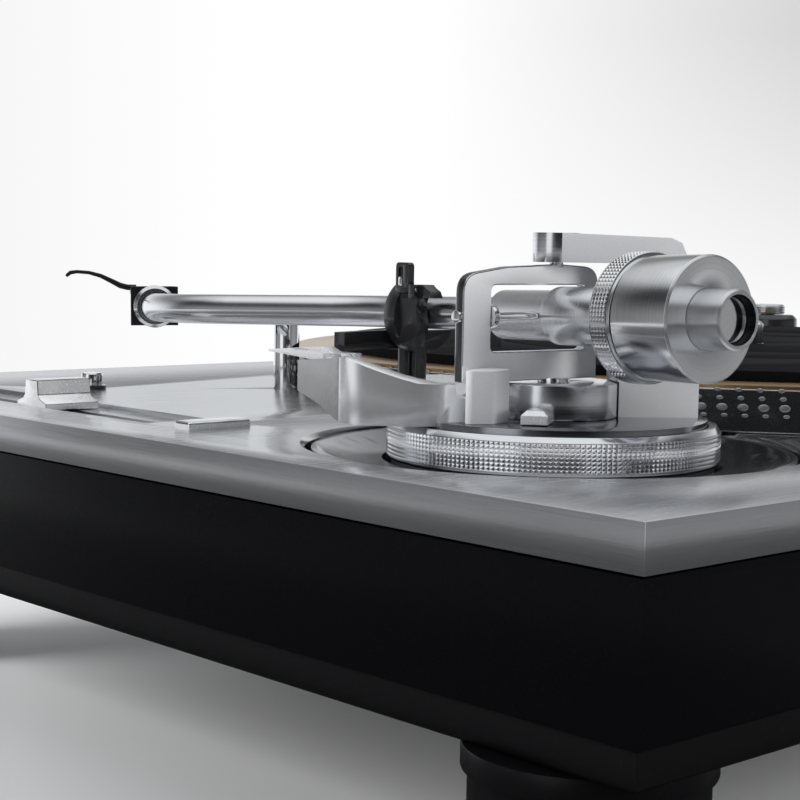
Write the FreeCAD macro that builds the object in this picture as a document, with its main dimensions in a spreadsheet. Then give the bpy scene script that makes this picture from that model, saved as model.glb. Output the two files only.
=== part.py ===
import FreeCAD, Part
import math
import os

import Sketcher
from FreeCAD import Placement, Rotation, Vector

# A direct-drive turntable for DJs: slab-topped cabinet, platter, S-shaped tonearm and pitch fader.
# Frame: X to the player's right, Y to its rear, Z up, origin on the table under the deck's centre.
# Lengths are millimetres.

doc = FreeCAD.newDocument("turntable")
sheet = doc.addObject("Spreadsheet::Sheet", "Dimensions")
sub_parts = []


class Size:
    """A length that knows both its number and the sheet formula that it comes from."""

    def __init__(self, text, value):
        self.text = text
        self.value = value

    @staticmethod
    def of(other):
        if isinstance(other, Size):
            return other
        return Size(repr(float(other)), float(other))

    def __add__(self, other):
        other = Size.of(other)
        return Size(f"({self.text} + {other.text})", self.value + other.value)

    __radd__ = __add__

    def __sub__(self, other):
        other = Size.of(other)
        return Size(f"({self.text} - {other.text})", self.value - other.value)

    def __rsub__(self, other):
        return Size.of(other) - self

    def __mul__(self, other):
        other = Size.of(other)
        return Size(f"({self.text} * {other.text})", self.value * other.value)

    __rmul__ = __mul__

    def __truediv__(self, other):
        other = Size.of(other)
        return Size(f"({self.text} / {other.text})", self.value / other.value)

    def __neg__(self):
        return Size(f"(0 - {self.text})", -self.value)


class Dimensions:
    """The driving sizes, one sheet row each, read back as Size attributes."""

    def __init__(self, rows):
        for index, (name, value) in enumerate(rows, start=1):
            sheet.set(f"A{index}", name)
            sheet.set(f"B{index}", str(value))
            sheet.setAlias(f"B{index}", name)
            setattr(self, name, Size(f"Dimensions.{name}", float(value)))


dims = Dimensions([
    # deck and cabinet
    ("deck_width", 453),
    ("deck_depth", 372),
    ("deck_thickness", 10),
    ("cabinet_inset", 1.4),
    ("cabinet_height", 33.2),
    ("cabinet_wall", 5),
    ("shadow_gap", 0.8),
    ("shadow_inset", 5),
    ("base_inset", 3),
    ("base_height", 9.8),
    ("base_edge_round", 4),
    ("base_bottom", 36),
    ("fit_gap", 0.3),
    ("run_gap", 0.08),
    # feet
    ("foot_spread_x", 199),
    ("foot_spread_y", 150),
    ("foot_radius", 27),
    ("foot_ring_height", 5.7),
    ("foot_step", 1.5),
    ("foot_pad_radius", 22),
    ("foot_pad_height", 5),
    ("foot_stem_radius", 8),
    ("foot_stem_rise", 9),
    ("screw_shank_radius", 2),
    ("screw_head_radius", 4),
    ("screw_head_height", 3),
    ("screw_length", 18),
    ("boss_radius", 6),
    ("screw_spread_x", 205),
    ("screw_spread_y", 105),
    # platter and motor
    ("spindle_x", -47.5),
    ("spindle_y", 6.4),
    ("spindle_radius", 3.6),
    ("spindle_collar_radius", 3.9),
    ("spindle_shaft_radius", 5),
    ("spindle_rise", 24),
    ("spindle_bevel", 1.2),
    ("platter_radius", 166),
    ("platter_clearance", 0.4),
    ("platter_height", 11.6),
    ("platter_web", 5.6),
    ("platter_rim_wall", 8),
    ("platter_hub_radius", 50),
    ("platter_hub_drop", 3),
    ("brass_inset", 0.8),
    ("brass_recess", 1),
    ("brass_thickness", 2),
    ("damper_inner", 70),
    ("damper_outer", 150),
    ("damper_thickness", 3),
    ("mat_radius", 150),
    ("mat_thickness", 3),
    ("mat_bore", 4),
    ("mat_groove_one", 56),
    ("mat_groove_two", 90),
    ("mat_groove_width", 1.6),
    ("mat_groove_depth", 0.6),
    ("motor_opening", 56),
    ("motor_flange", 68),
    ("motor_flange_height", 4),
    ("motor_cup_wall", 3),
    ("motor_cup_depth", 16),
    ("motor_floor", 3),
    ("bearing_radius", 9),
    ("bearing_rise", 20),
    ("magnet_inner", 20),
    ("magnet_outer", 47),
    ("magnet_height", 8),
    ("air_gap", 0.6),
    ("coil_pitch_radius", 34),
    ("coil_radius", 10.5),
    ("coil_count", 9),
    # strobe pillar and power dial
    ("pillar_x", -202),
    ("pillar_y", -97),
    ("pillar_radius", 11.5),
    ("pillar_height", 20),
    ("pillar_bevel", 2),
    ("dial_radius", 8),
    ("dial_height", 4.6),
    ("dial_offset", 1.5),
    ("dial_bevel", 0.6),
    ("dial_stem_radius", 3),
    ("dial_stem_depth", 6),
    # buttons
    ("start_x", -198),
    ("start_y", -158),
    ("start_size", 24),
    ("start_height", 2.5),
    ("speed_x", -170),
    ("speed_pitch", 22),
    ("speed_y", -166),
    ("speed_width", 17),
    ("speed_depth", 8),
    ("button_depth", 7),
    ("button_gap", 0.5),
    ("button_round", 1),
    ("button_bevel", 0.4),
    ("reset_x", 195.2),
    ("reset_y", 11.25),
    ("reset_width", 20.4),
    ("reset_depth", 7.1),
    ("reset_height", 2),
    # pitch fader
    ("fader_x", 194.7),
    ("fader_y", -68),
    ("fader_width", 21.4),
    ("fader_length", 124),
    ("fader_recess", 1.5),
    ("fader_slot_width", 4),
    ("fader_slot_length", 112),
    ("knob_width", 18),
    ("knob_foot", 16.5),
    ("knob_grip", 6.5),
    ("knob_height", 7.5),
    ("knob_foot_height", 2),
    ("knob_stem_width", 2.5),
    ("knob_stem_length", 8),
    ("knob_stem_depth", 16),
    ("rail_width", 16),
    ("rail_floor", 2),
    # stylus light
    ("light_x", 104.5),
    ("light_y", -71.9),
    ("light_radius", 4.3),
    ("light_rise", 23),
    ("light_depth", 16),
    ("light_bevel", 0.5),
    ("light_button_x", 157.7),
    ("light_button_y", -108),
    ("light_button_radius", 3.5),
    ("light_button_height", 5.3),
    ("light_ring_radius", 4.7),
    ("light_ring_height", 1.2),
    # record adaptor
    ("adaptor_x", -195),
    ("adaptor_y", 152),
    ("adaptor_radius", 19),
    ("adaptor_height", 9),
    ("adaptor_recess", 4),
    ("adaptor_recess_gap", 0.6),
    ("adaptor_bevel", 1.5),
    # tonearm base
    ("pivot_x", 150),
    ("pivot_y", 92),
    ("arm_hole", 61.6),
    ("arm_hole_bevel", 1.2),
    ("flange_radius", 60),
    ("flange_lip", 2.6),
    ("flange_drop", 1),
    ("flange_seat_radius", 64),
    ("flange_seat_height", 3),
    ("dish_depth", 3.5),
    ("dish_flat_radius", 50),
    ("dish_bore", 42.3),
    ("height_ring_radius", 41.4),
    ("height_ring_bevel", 1.4),
    ("height_ring_top", 6.2),
    ("height_ring_floor", 3.4),
    ("arm_tube_bore", 24),
    ("arm_tube_radius", 28),
    ("arm_tube_top", 3),
    ("arm_shoulder_radius", 40),
    ("arm_shoulder_drop", 3.5),
    ("arm_seat_height", 4),
    ("platform_radius", 38),
    ("platform_top", 7.5),
    ("platform_bottom", 3.8),
    ("platform_stem_depth", 22),
    ("platform_bore", 8),
    ("platform_span", 80),
    ("casting_floor", 6.6),
    ("casting_deck", 13),
    ("casting_top", 16.2),
    ("casting_peak", 22.6),
    # gimbal
    ("arm_axis", 32.2),
    ("arm_heading", 265),
    ("arm_slope", 0.025),
    ("drum_radius", 16),
    ("drum_top", 16),
    ("pin_radius", 4),
    ("pin_depth", 6),
    ("top_pin_radius", 1.75),
    ("top_pin_rise", 4),
    ("yoke_bottom", 16.5),
    ("yoke_shoulder", 42),
    ("yoke_top", 44.9),
    ("yoke_outer", 30.6),
    ("yoke_inner", 13),
    ("yoke_leg", 8.7),
    ("yoke_inner_leg", 4),
    ("yoke_sill", 7.2),
    ("yoke_head", 5.1),
    ("yoke_thickness", 3),
    ("yoke_corner", 2.5),
    ("bridge_bottom", 45.4),
    ("bridge_top", 52.6),
    ("bridge_width", 12),
    ("bridge_length", 31.3),
    ("bridge_heading", 145),
    ("bridge_slope", 0.8),
    ("bridge_round", 4),
    ("column_start", 14.9),
    ("column_reach", 35.4),
    ("column_shoulder", 24),
    ("housing_top", 20.1),
    ("housing_round", 1.5),
    ("anti_skate_x", 38),
    ("anti_skate_y", -22),
    ("anti_skate_radius", 8.5),
    ("anti_skate_height", 3),
    ("anti_skate_sink", 2.6),
    ("anti_skate_stem", 4),
    ("lever_pivot", 20.5),
    ("lever_reach", 30),
    ("lever_heading", 34.5),
    ("lever_pin_radius", 1.5),
    ("lever_grip_width", 6.4),
    ("lever_grip_height", 3.3),
    ("lever_bevel", 1.2),
    # cueing
    ("cue_x", 27.4),
    ("cue_hinge_y", -49),
    ("cue_hinge_z", 19.3),
    ("cue_barrel_radius", 1.6),
    ("cue_pin_radius", 0.9),
    ("cue_width", 4),
    ("cue_lug", 2.2),
    ("cue_channel_floor", 10.5),
    ("cue_channel_start", 3),
    ("cue_channel_length", 24),
    ("lift_radius", 60),
    ("lift_width", 3),
    ("lift_top", 25.9),
    ("lift_thickness", 5),
    ("lift_post_radius", 2.5),
    ("lift_heading", 265),
    ("lift_half_angle", 27.5),
    # arm rest
    ("rest_reach", 49),
    ("rest_length", 9),
    ("rest_floor_height", 5),
    ("rest_side_gap", 0.5),
    ("rest_wall", 3.6),
    ("rest_wall_top", 34.9),
    ("rest_fin_top", 38.6),
    ("rest_fin_reach", 6),
    ("rest_foot_radius", 1.6),
    ("rest_foot_reach", 54),
    ("rest_cradle_radius", 10.4),
    ("rest_cradle_start", 52.5),
    ("rest_cradle_length", 4.7),
    ("rest_cradle_drop", 0.6),
    ("clamp_width", 5.6),
    ("clamp_pin_radius", 0.6),
    ("clamp_lug", 2.2),
    ("clamp_thickness", 2.2),
    ("clamp_top", 44.4),
    ("clamp_hinge", 37.2),
    # arm tube
    ("tube_radius", 4.4),
    ("tube_wall", 0.9),
    ("tube_start", 12),
    ("tube_first", 75),
    ("tube_second", 78),
    ("tube_third", 37),
    ("bend_one", 22),
    ("bend_two", 50),
    ("bend_radius", 60),
    ("bearing_front", 19),
    ("bearing_rear", 22.5),
    ("bearing_housing_radius", 6.3),
    ("bearing_sleeve_radius", 7.2),
    ("bearing_sleeve_front", -1.6),
    ("bearing_sleeve_bevel", 0.6),
    ("side_pin_radius", 1),
    ("side_nut_radius", 3),
    ("side_nut_height", 1.6),
    ("side_head_radius", 1.6),
    ("side_head_height", 1.2),
    ("shaft_radius", 5),
    ("shaft_end", 57),
    ("scale_radius", 15.6),
    ("scale_front", 27.5),
    ("scale_length", 6.2),
    ("weight_radius", 14.6),
    ("weight_length", 17.8),
    ("weight_hub_radius", 6.9),
    ("weight_hub_end", 60),
    ("weight_dish", 1),
    ("weight_socket", 0.6),
    # head
    ("collar_radius", 6.9),
    ("collar_length", 12),
    ("collar_reach", 38),
    ("head_width", 15.6),
    ("head_height", 12.9),
    ("head_block", 12),
    ("head_length", 52),
    ("head_plate", 2.6),
    ("head_stem_radius", 3.9),
    ("cartridge_setback", 14),
    ("cartridge_spacing", 12.7),
    ("cartridge_slot", 8),
    ("cartridge_slot_width", 2.6),
    ("finger_width", 6),
    ("finger_thickness", 1),
    ("finger_reach", 20),
    ("finger_rise", 5),
    ("finger_setback", 18),
    # rear panel
    ("jack_x", -60),
    ("jack_pitch", 16),
    ("jack_radius", 4.15),
    ("jack_length", 8),
    ("jack_flange_radius", 6.5),
    ("jack_height", 62),
    ("jack_bore", 1.6),
    ("rear_plate", 1.5),
    ("niche_x", -66),
    ("niche_width", 70),
    ("niche_height", 22),
    ("niche_depth", 9),
    ("ground_x", -86),
    ("ground_radius", 4.5),
    ("ground_stem_radius", 2.2),
    ("ground_length", 7),
    ("inlet_x", 60),
    ("inlet_width", 28),
    ("inlet_height", 20),
    ("inlet_depth", 18),
    ("inlet_wall", 1.8),
    ("blade_width", 2),
    ("blade_height", 4),
    ("blade_pitch", 7),
    ("blade_rise", 2),
    ("blade_setback", 3),
    ("hinge_spread", 130),
    ("hinge_width", 34),
    ("hinge_depth", 9),
    ("hinge_height", 26),
    ("hinge_wall", 3),
    ("board_length", 150),
    ("board_width", 60),
    ("board_thickness", 1.6),
    ("board_x", -40),
    ("board_y", 118),
    ("board_rise", 5),
    ("board_pillar_radius", 2.5),
    ("transformer_length", 46),
    ("transformer_width", 40),
    ("transformer_height", 20),
    ("can_radius", 6),
    ("can_height", 16),
])

cabinet_bottom = dims.base_bottom + dims.base_height
cabinet_top = cabinet_bottom + dims.cabinet_height
deck_top = cabinet_top + dims.deck_thickness
half_width = dims.deck_width / 2
half_depth = dims.deck_depth / 2


# Building blocks

def bind_place(obj, x=0, y=0, z=0, rotation=None):
    """Places an object at sizes that follow the sheet."""
    x, y, z = Size.of(x), Size.of(y), Size.of(z)
    obj.Placement = Placement(Vector(x.value, y.value, z.value), rotation or Rotation())
    obj.setExpression("Placement.Base.x", x.text)
    obj.setExpression("Placement.Base.y", y.text)
    obj.setExpression("Placement.Base.z", z.text)
    return obj


def new_body(label, x=0, y=0, z=0, rotation=None):
    """Starts a sub-part as a body whose own origin stands at x, y, z."""
    body = doc.addObject("PartDesign::Body", label)
    body.Label = label
    bind_place(body, x, y, z, rotation)
    sub_parts.append(body)
    return body


def new_sketch(body, plane, height=0):
    """Attaches a sketch to one of the body's own origin planes, moved along its normal."""
    sketch = body.newObject("Sketcher::SketchObject", "Sketch")
    face = [item for item in body.Origin.OriginFeatures if item.Role == plane][0]
    sketch.AttachmentSupport = [(face, "")]
    sketch.MapMode = "FlatFace"
    height = Size.of(height)
    sketch.AttachmentOffset = Placement(Vector(0, 0, height.value), Rotation())
    sketch.setExpression("AttachmentOffset.Base.z", height.text)
    return sketch


def pin_point(sketch, geometry, position, x, y):
    """Holds one point of a sketch at sheet-driven distances from the origin."""
    for kind, size in (("DistanceX", Size.of(x)), ("DistanceY", Size.of(y))):
        index = sketch.addConstraint(
            Sketcher.Constraint(kind, -1, 1, geometry, position, size.value))
        sketch.setExpression(f"Constraints[{index}]", size.text)


def draw_loop(sketch, points):
    """Draws a closed outline through points given as pairs of sizes."""
    corners = [(Size.of(x), Size.of(y)) for x, y in points]
    first = sketch.GeometryCount
    count = len(corners)
    for index, (x, y) in enumerate(corners):
        next_x, next_y = corners[(index + 1) % count]
        start = Vector(x.value, y.value, 0)
        end = Vector(next_x.value, next_y.value, 0)
        sketch.addGeometry(Part.LineSegment(start, end), False)
    for index, (x, y) in enumerate(corners):
        following = first + (index + 1) % count
        sketch.addConstraint(Sketcher.Constraint("Coincident", first + index, 2, following, 1))
        pin_point(sketch, first + index, 1, x, y)


def draw_circle(sketch, x, y, radius):
    """Draws a circle whose centre and radius follow the sheet."""
    x, y, radius = Size.of(x), Size.of(y), Size.of(radius)
    circle = Part.Circle(Vector(x.value, y.value, 0), Vector(0, 0, 1), radius.value)
    geometry = sketch.addGeometry(circle, False)
    pin_point(sketch, geometry, 3, x, y)
    index = sketch.addConstraint(Sketcher.Constraint("Radius", geometry, radius.value))
    sketch.setExpression(f"Constraints[{index}]", radius.text)


def box_points(width, depth, x=0, y=0):
    """The four corners of a rectangle around x, y."""
    width, depth = Size.of(width), Size.of(depth)
    x, y = Size.of(x), Size.of(y)
    return [
        (x - width / 2, y - depth / 2),
        (x + width / 2, y - depth / 2),
        (x + width / 2, y + depth / 2),
        (x - width / 2, y + depth / 2),
    ]


def pad(body, loops=(), circles=(), bottom=0, height=1, plane="XY_Plane"):
    """Adds material upwards from a height above the body's origin."""
    sketch = new_sketch(body, plane, bottom)
    for loop in loops:
        draw_loop(sketch, loop)
    for x, y, radius in circles:
        draw_circle(sketch, x, y, radius)
    feature = body.newObject("PartDesign::Pad", "Pad")
    feature.Profile = sketch
    height = Size.of(height)
    feature.Length = height.value
    feature.setExpression("Length", height.text)
    doc.recompute()
    return feature


def pocket(body, loops=(), circles=(), top=0, depth=1, plane="XY_Plane", reverse=False):
    """Cuts downwards from a height above the body's origin and checks that it cut."""
    before = body.Shape.Volume
    sketch = new_sketch(body, plane, top)
    for loop in loops:
        draw_loop(sketch, loop)
    for x, y, radius in circles:
        draw_circle(sketch, x, y, radius)
    feature = body.newObject("PartDesign::Pocket", "Pocket")
    feature.Profile = sketch
    feature.Reversed = reverse
    depth = Size.of(depth)
    feature.Length = depth.value
    feature.setExpression("Length", depth.text)
    doc.recompute()
    if body.Shape.Volume >= before - 1e-6:
        raise RuntimeError(f"{body.Label}: a pocket cut nothing")
    return feature


def turn(body, outline, axis="V_Axis"):
    """Turns an outline on the XZ plane round the vertical (V_Axis) or the X axis (H_Axis)."""
    sketch = new_sketch(body, "XZ_Plane")
    draw_loop(sketch, outline)
    feature = body.newObject("PartDesign::Revolution", "Revolution")
    feature.Profile = sketch
    feature.ReferenceAxis = (sketch, [axis])
    feature.Angle = 360
    doc.recompute()
    return feature


def ring_outline(inner, outer, bottom, top):
    """A rectangle to be turned into a disc or a ring."""
    return [(inner, bottom), (outer, bottom), (outer, top), (inner, top)]


def polar(body, feature, count):
    """Repeats a feature round the body's own Z axis."""
    pattern = body.newObject("PartDesign::PolarPattern", "PolarPattern")
    pattern.Originals = [feature]
    pattern.Axis = (feature.Profile[0], ["N_Axis"])
    pattern.Angle = 360
    pattern.Occurrences = int(count.value)
    pattern.setExpression("Occurrences", count.text)
    body.Tip = pattern
    doc.recompute()
    return pattern


def edges_at(shape, test):
    """Names the edges of a shape that pass a test."""
    return [f"Edge{number}" for number, edge in enumerate(shape.Edges, start=1) if test(edge)]


def soften(body, kind, size, test):
    """Rounds or bevels the edges that pass a test."""
    base = body.Tip
    names = edges_at(base.Shape, test)
    if not names:
        raise RuntimeError(f"{body.Label}: no edge to soften")
    feature = body.newObject(f"PartDesign::{kind}", kind)
    feature.Base = (base, names)
    size = Size.of(size)
    name = "Radius" if kind == "Fillet" else "Size"
    setattr(feature, name, size.value)
    feature.setExpression(name, size.text)
    doc.recompute()
    return feature


def is_upright(edge):
    """True for a straight vertical edge."""
    box = edge.BoundBox
    return len(edge.Vertexes) == 2 and box.XLength < 1e-6 and box.YLength < 1e-6


def lies_at(height):
    """Makes a test for edges that lie at one height."""
    def test(edge):
        box = edge.BoundBox
        return abs(box.ZMin - height) < 1e-4 and abs(box.ZMax - height) < 1e-4
    return test


# Deck, cabinet and base

def make_top_panel():
    """The aluminium slab with the openings for everything that passes through it."""
    body = new_body("top_panel", 0, 0, cabinet_top)
    pad(body, [box_points(dims.deck_width, dims.deck_depth)], bottom=0, height=dims.deck_thickness)
    top = dims.deck_thickness
    pocket(body, circles=[
        (dims.spindle_x, dims.spindle_y, dims.motor_opening),
        (dims.light_x, dims.light_y, dims.light_radius + dims.run_gap),
        (dims.light_button_x, dims.light_button_y, dims.light_button_radius + dims.run_gap),
    ], top=top, depth=dims.deck_thickness)
    pocket(body, circles=[(dims.pivot_x, dims.pivot_y, dims.arm_hole)],
           top=top, depth=dims.deck_thickness)
    gap = dims.button_gap * 2
    buttons = [
        box_points(dims.start_size + gap, dims.start_size + gap, dims.start_x, dims.start_y),
        box_points(dims.reset_width + gap, dims.reset_depth + gap, dims.reset_x, dims.reset_y),
    ]
    for step in (0, 1):
        buttons.append(box_points(dims.speed_width + gap, dims.speed_depth + gap,
                                  dims.speed_x + dims.speed_pitch * step, dims.speed_y))
    pocket(body, buttons, top=top, depth=dims.deck_thickness)
    channel = box_points(dims.fader_width, dims.fader_length, dims.fader_x, dims.fader_y)
    pocket(body, [channel], top=top, depth=dims.fader_recess)
    slot = box_points(dims.fader_slot_width, dims.fader_slot_length, dims.fader_x, dims.fader_y)
    pocket(body, [slot], top=top - dims.fader_recess,
           depth=dims.deck_thickness - dims.fader_recess)
    recess = dims.adaptor_radius + dims.adaptor_recess_gap
    pocket(body, circles=[(dims.adaptor_x, dims.adaptor_y, recess)],
           top=top, depth=dims.adaptor_recess)
    arm_edge = dims.pivot_x.value + dims.arm_hole.value

    def at_arm_hole(edge):
        box = edge.BoundBox
        return lies_at(top.value)(edge) and abs(box.XMax - arm_edge) < 1e-3

    soften(body, "Chamfer", dims.arm_hole_bevel, at_arm_hole)


def make_cabinet():
    """The hollow cabinet under the slab, with screw bosses and the openings at its rear."""
    body = new_body("cabinet", 0, 0, cabinet_bottom)
    width = dims.deck_width - dims.cabinet_inset * 2
    depth = dims.deck_depth - dims.cabinet_inset * 2
    wall = dims.cabinet_wall * 2
    body_height = dims.cabinet_height - dims.shadow_gap
    pad(body, [box_points(width, depth), box_points(width - wall, depth - wall)],
        height=body_height)
    rim = dims.shadow_inset * 2
    pad(body, [box_points(width - rim, depth - rim),
               box_points(width - rim - wall, depth - rim - wall)],
        bottom=body_height - dims.cabinet_wall, height=dims.cabinet_wall + dims.shadow_gap)
    places = [(dims.screw_spread_x * side, dims.screw_spread_y * row)
              for side in (-1, 1) for row in (-1, 0, 1)]
    bridge = dims.cabinet_wall + dims.boss_radius
    bosses = []
    for x, y in places:
        side = 1 if x.value > 0 else -1
        outer = (width / 2 - dims.cabinet_wall / 2) * side
        bosses.append([(outer, y - dims.boss_radius), (outer, y + dims.boss_radius),
                       (x - side * dims.boss_radius, y + dims.boss_radius),
                       (x - side * dims.boss_radius, y - dims.boss_radius)])
    pad(body, bosses, height=dims.screw_length)
    pocket(body, circles=[(x, y, dims.screw_shank_radius + dims.run_gap) for x, y in places],
           top=dims.screw_length, depth=dims.screw_length)
    rear = depth / 2
    inside = rear - dims.cabinet_wall
    middle = dims.jack_height - cabinet_bottom
    niche_wall = dims.cabinet_wall * 2
    pad(body, [box_points(dims.niche_width + niche_wall, dims.niche_depth + dims.cabinet_wall,
                          dims.niche_x, inside - dims.niche_depth / 2)],
        bottom=middle - dims.niche_height / 2 - dims.cabinet_wall,
        height=dims.niche_height + niche_wall)
    pocket(body, [box_points(dims.niche_width, dims.niche_height, dims.niche_x, middle)],
           top=dims.niche_depth - rear, depth=dims.niche_depth + 1, plane="XZ_Plane")
    jacks = [(dims.jack_x + dims.jack_pitch * step, middle, dims.jack_radius + dims.run_gap)
             for step in (0, 1)]
    jacks.append((dims.ground_x, middle, dims.ground_stem_radius + dims.run_gap))
    pocket(body, circles=jacks, top=dims.niche_depth + dims.cabinet_wall * 1.5 - rear,
           depth=dims.cabinet_wall * 1.6, plane="XZ_Plane")
    inlet = box_points(dims.inlet_width, dims.inlet_height, dims.inlet_x, middle)
    hinges = [box_points(dims.hinge_width, dims.hinge_height,
                         dims.hinge_spread * side, body_height - dims.cabinet_wall
                         - dims.hinge_height / 2) for side in (-1, 1)]
    pocket(body, [inlet] + hinges, top=dims.cabinet_wall * 1.5 - rear,
           depth=dims.cabinet_wall * 2, plane="XZ_Plane")


def make_lower_base():
    """The heavy base plate with a rounded lower edge, foot holes and sunk screw heads."""
    body = new_body("lower_base", 0, 0, dims.base_bottom)
    pad(body, [box_points(dims.deck_width - dims.base_inset * 2,
                          dims.deck_depth - dims.base_inset * 2)], height=dims.base_height)
    soften(body, "Fillet", dims.base_edge_round, lies_at(0))
    feet = [(dims.foot_spread_x * side, dims.foot_spread_y * row,
             dims.foot_stem_radius + dims.run_gap) for side in (-1, 1) for row in (-1, 1)]
    pocket(body, circles=feet, top=dims.base_height, depth=dims.base_height)
    screws = [(dims.screw_spread_x * side, dims.screw_spread_y * row)
              for side in (-1, 1) for row in (-1, 0, 1)]
    pocket(body, circles=[(x, y, dims.screw_shank_radius + dims.run_gap) for x, y in screws],
           top=dims.base_height, depth=dims.base_height)
    pocket(body, circles=[(x, y, dims.screw_head_radius + dims.fit_gap) for x, y in screws],
           top=dims.screw_head_height, depth=dims.screw_head_height)


def make_base_screws():
    """Six screws from the base into the cabinet's bosses."""
    body = new_body("base_screws", 0, 0, dims.base_bottom)
    body.AllowCompound = True
    places = [(dims.screw_spread_x * side, dims.screw_spread_y * row)
              for side in (-1, 1) for row in (-1, 0, 1)]
    pad(body, circles=[(x, y, dims.screw_head_radius) for x, y in places],
        bottom=dims.fit_gap, height=dims.screw_head_height - dims.fit_gap)
    pad(body, circles=[(x, y, dims.screw_shank_radius) for x, y in places],
        bottom=dims.fit_gap, height=dims.screw_length)


def make_foot(name, side, row):
    """One adjustable foot: a stepped housing on a stem, and its soft pad."""
    x = dims.foot_spread_x * side
    y = dims.foot_spread_y * row
    top = dims.base_bottom - dims.fit_gap
    inner = dims.foot_radius - dims.foot_step
    body = new_body(f"foot_{name}", x, y)
    turn(body, [
        (0, dims.foot_pad_height),
        (inner, dims.foot_pad_height),
        (inner, top - dims.foot_ring_height),
        (dims.foot_radius, top - dims.foot_ring_height),
        (dims.foot_radius, top),
        (dims.foot_stem_radius, top),
        (dims.foot_stem_radius, dims.base_bottom + dims.foot_stem_rise),
        (0, dims.base_bottom + dims.foot_stem_rise),
    ])
    sole = new_body(f"foot_pad_{name}", x, y)
    turn(sole, ring_outline(0, dims.foot_pad_radius, 0, dims.foot_pad_height))


# Platter and motor

platter_top = dims.platter_clearance + dims.platter_height
brass_bottom = platter_top - dims.brass_recess
brass_top = brass_bottom + dims.brass_thickness
web_bottom = brass_bottom - dims.platter_web
hub_bottom = web_bottom - dims.platter_hub_drop
magnet_bottom = hub_bottom - dims.magnet_height
cup_top = -dims.deck_thickness
cup_bottom = cup_top - dims.motor_cup_depth
cup_floor = cup_bottom + dims.motor_floor
shaft_bore = dims.spindle_shaft_radius + dims.run_gap
collar_bore = dims.spindle_collar_radius + dims.run_gap
mat_top = brass_top + dims.mat_thickness


def at_spindle(label):
    """Starts a sub-part on the spindle's axis at the deck's top."""
    return new_body(label, dims.spindle_x, dims.spindle_y, deck_top)


def make_platter():
    """The cast platter: rim, web, hub and the recess that takes the brass plate."""
    body = at_spindle("platter")
    rim_inside = dims.platter_radius - dims.platter_rim_wall
    lip = dims.platter_radius - dims.brass_inset
    turn(body, [
        (shaft_bore, hub_bottom),
        (dims.platter_hub_radius, hub_bottom),
        (dims.platter_hub_radius, web_bottom),
        (rim_inside, web_bottom),
        (rim_inside, dims.platter_clearance),
        (dims.platter_radius, dims.platter_clearance),
        (dims.platter_radius, platter_top),
        (lip, platter_top),
        (lip, brass_bottom),
        (shaft_bore, brass_bottom),
    ])
    brass = at_spindle("brass_plate")
    turn(brass, ring_outline(collar_bore, lip, brass_bottom, brass_top))
    damper = at_spindle("platter_damper")
    turn(damper, ring_outline(dims.damper_inner, dims.damper_outer,
                              web_bottom - dims.damper_thickness, web_bottom))


def make_mat():
    """The mat, with two grooves that part its rings."""
    body = at_spindle("platter_mat")
    top = mat_top
    floor = top - dims.mat_groove_depth
    half = dims.mat_groove_width / 2
    turn(body, [
        (dims.mat_bore, brass_top),
        (dims.mat_radius, brass_top),
        (dims.mat_radius, top),
        (dims.mat_groove_two + half, top),
        (dims.mat_groove_two + half, floor),
        (dims.mat_groove_two - half, floor),
        (dims.mat_groove_two - half, top),
        (dims.mat_groove_one + half, top),
        (dims.mat_groove_one + half, floor),
        (dims.mat_groove_one - half, floor),
        (dims.mat_groove_one - half, top),
        (dims.mat_bore, top),
    ])


def make_motor():
    """Spindle and magnet, which turn, and the cup with its bearing and coils, which stand."""
    spindle = at_spindle("spindle")
    turn(spindle, [
        (0, cup_floor + dims.fit_gap),
        (dims.spindle_shaft_radius, cup_floor + dims.fit_gap),
        (dims.spindle_shaft_radius, brass_bottom),
        (dims.spindle_collar_radius, brass_bottom),
        (dims.spindle_collar_radius, mat_top),
        (dims.spindle_radius, mat_top),
        (dims.spindle_radius, dims.spindle_rise - dims.spindle_bevel),
        (dims.spindle_radius - dims.spindle_bevel, dims.spindle_rise),
        (0, dims.spindle_rise),
    ])
    magnet = at_spindle("rotor_magnet")
    turn(magnet, ring_outline(dims.magnet_inner, dims.magnet_outer, magnet_bottom, hub_bottom))
    cup_outer = dims.motor_opening + dims.motor_cup_wall
    base = at_spindle("motor_base")
    turn(base, [
        (0, cup_bottom),
        (cup_outer, cup_bottom),
        (cup_outer, cup_top - dims.motor_flange_height),
        (dims.motor_flange, cup_top - dims.motor_flange_height),
        (dims.motor_flange, cup_top),
        (dims.motor_opening, cup_top),
        (dims.motor_opening, cup_floor),
        (dims.bearing_radius, cup_floor),
        (dims.bearing_radius, cup_floor + dims.bearing_rise),
        (shaft_bore, cup_floor + dims.bearing_rise),
        (shaft_bore, cup_floor),
        (0, cup_floor),
    ])
    coils = at_spindle("stator_coils")
    coils.AllowCompound = True
    one = pad(coils, circles=[(dims.coil_pitch_radius, 0, dims.coil_radius)],
              bottom=cup_floor, height=magnet_bottom - dims.air_gap - cup_floor)
    polar(coils, one, dims.coil_count)


# Controls on the deck

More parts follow.
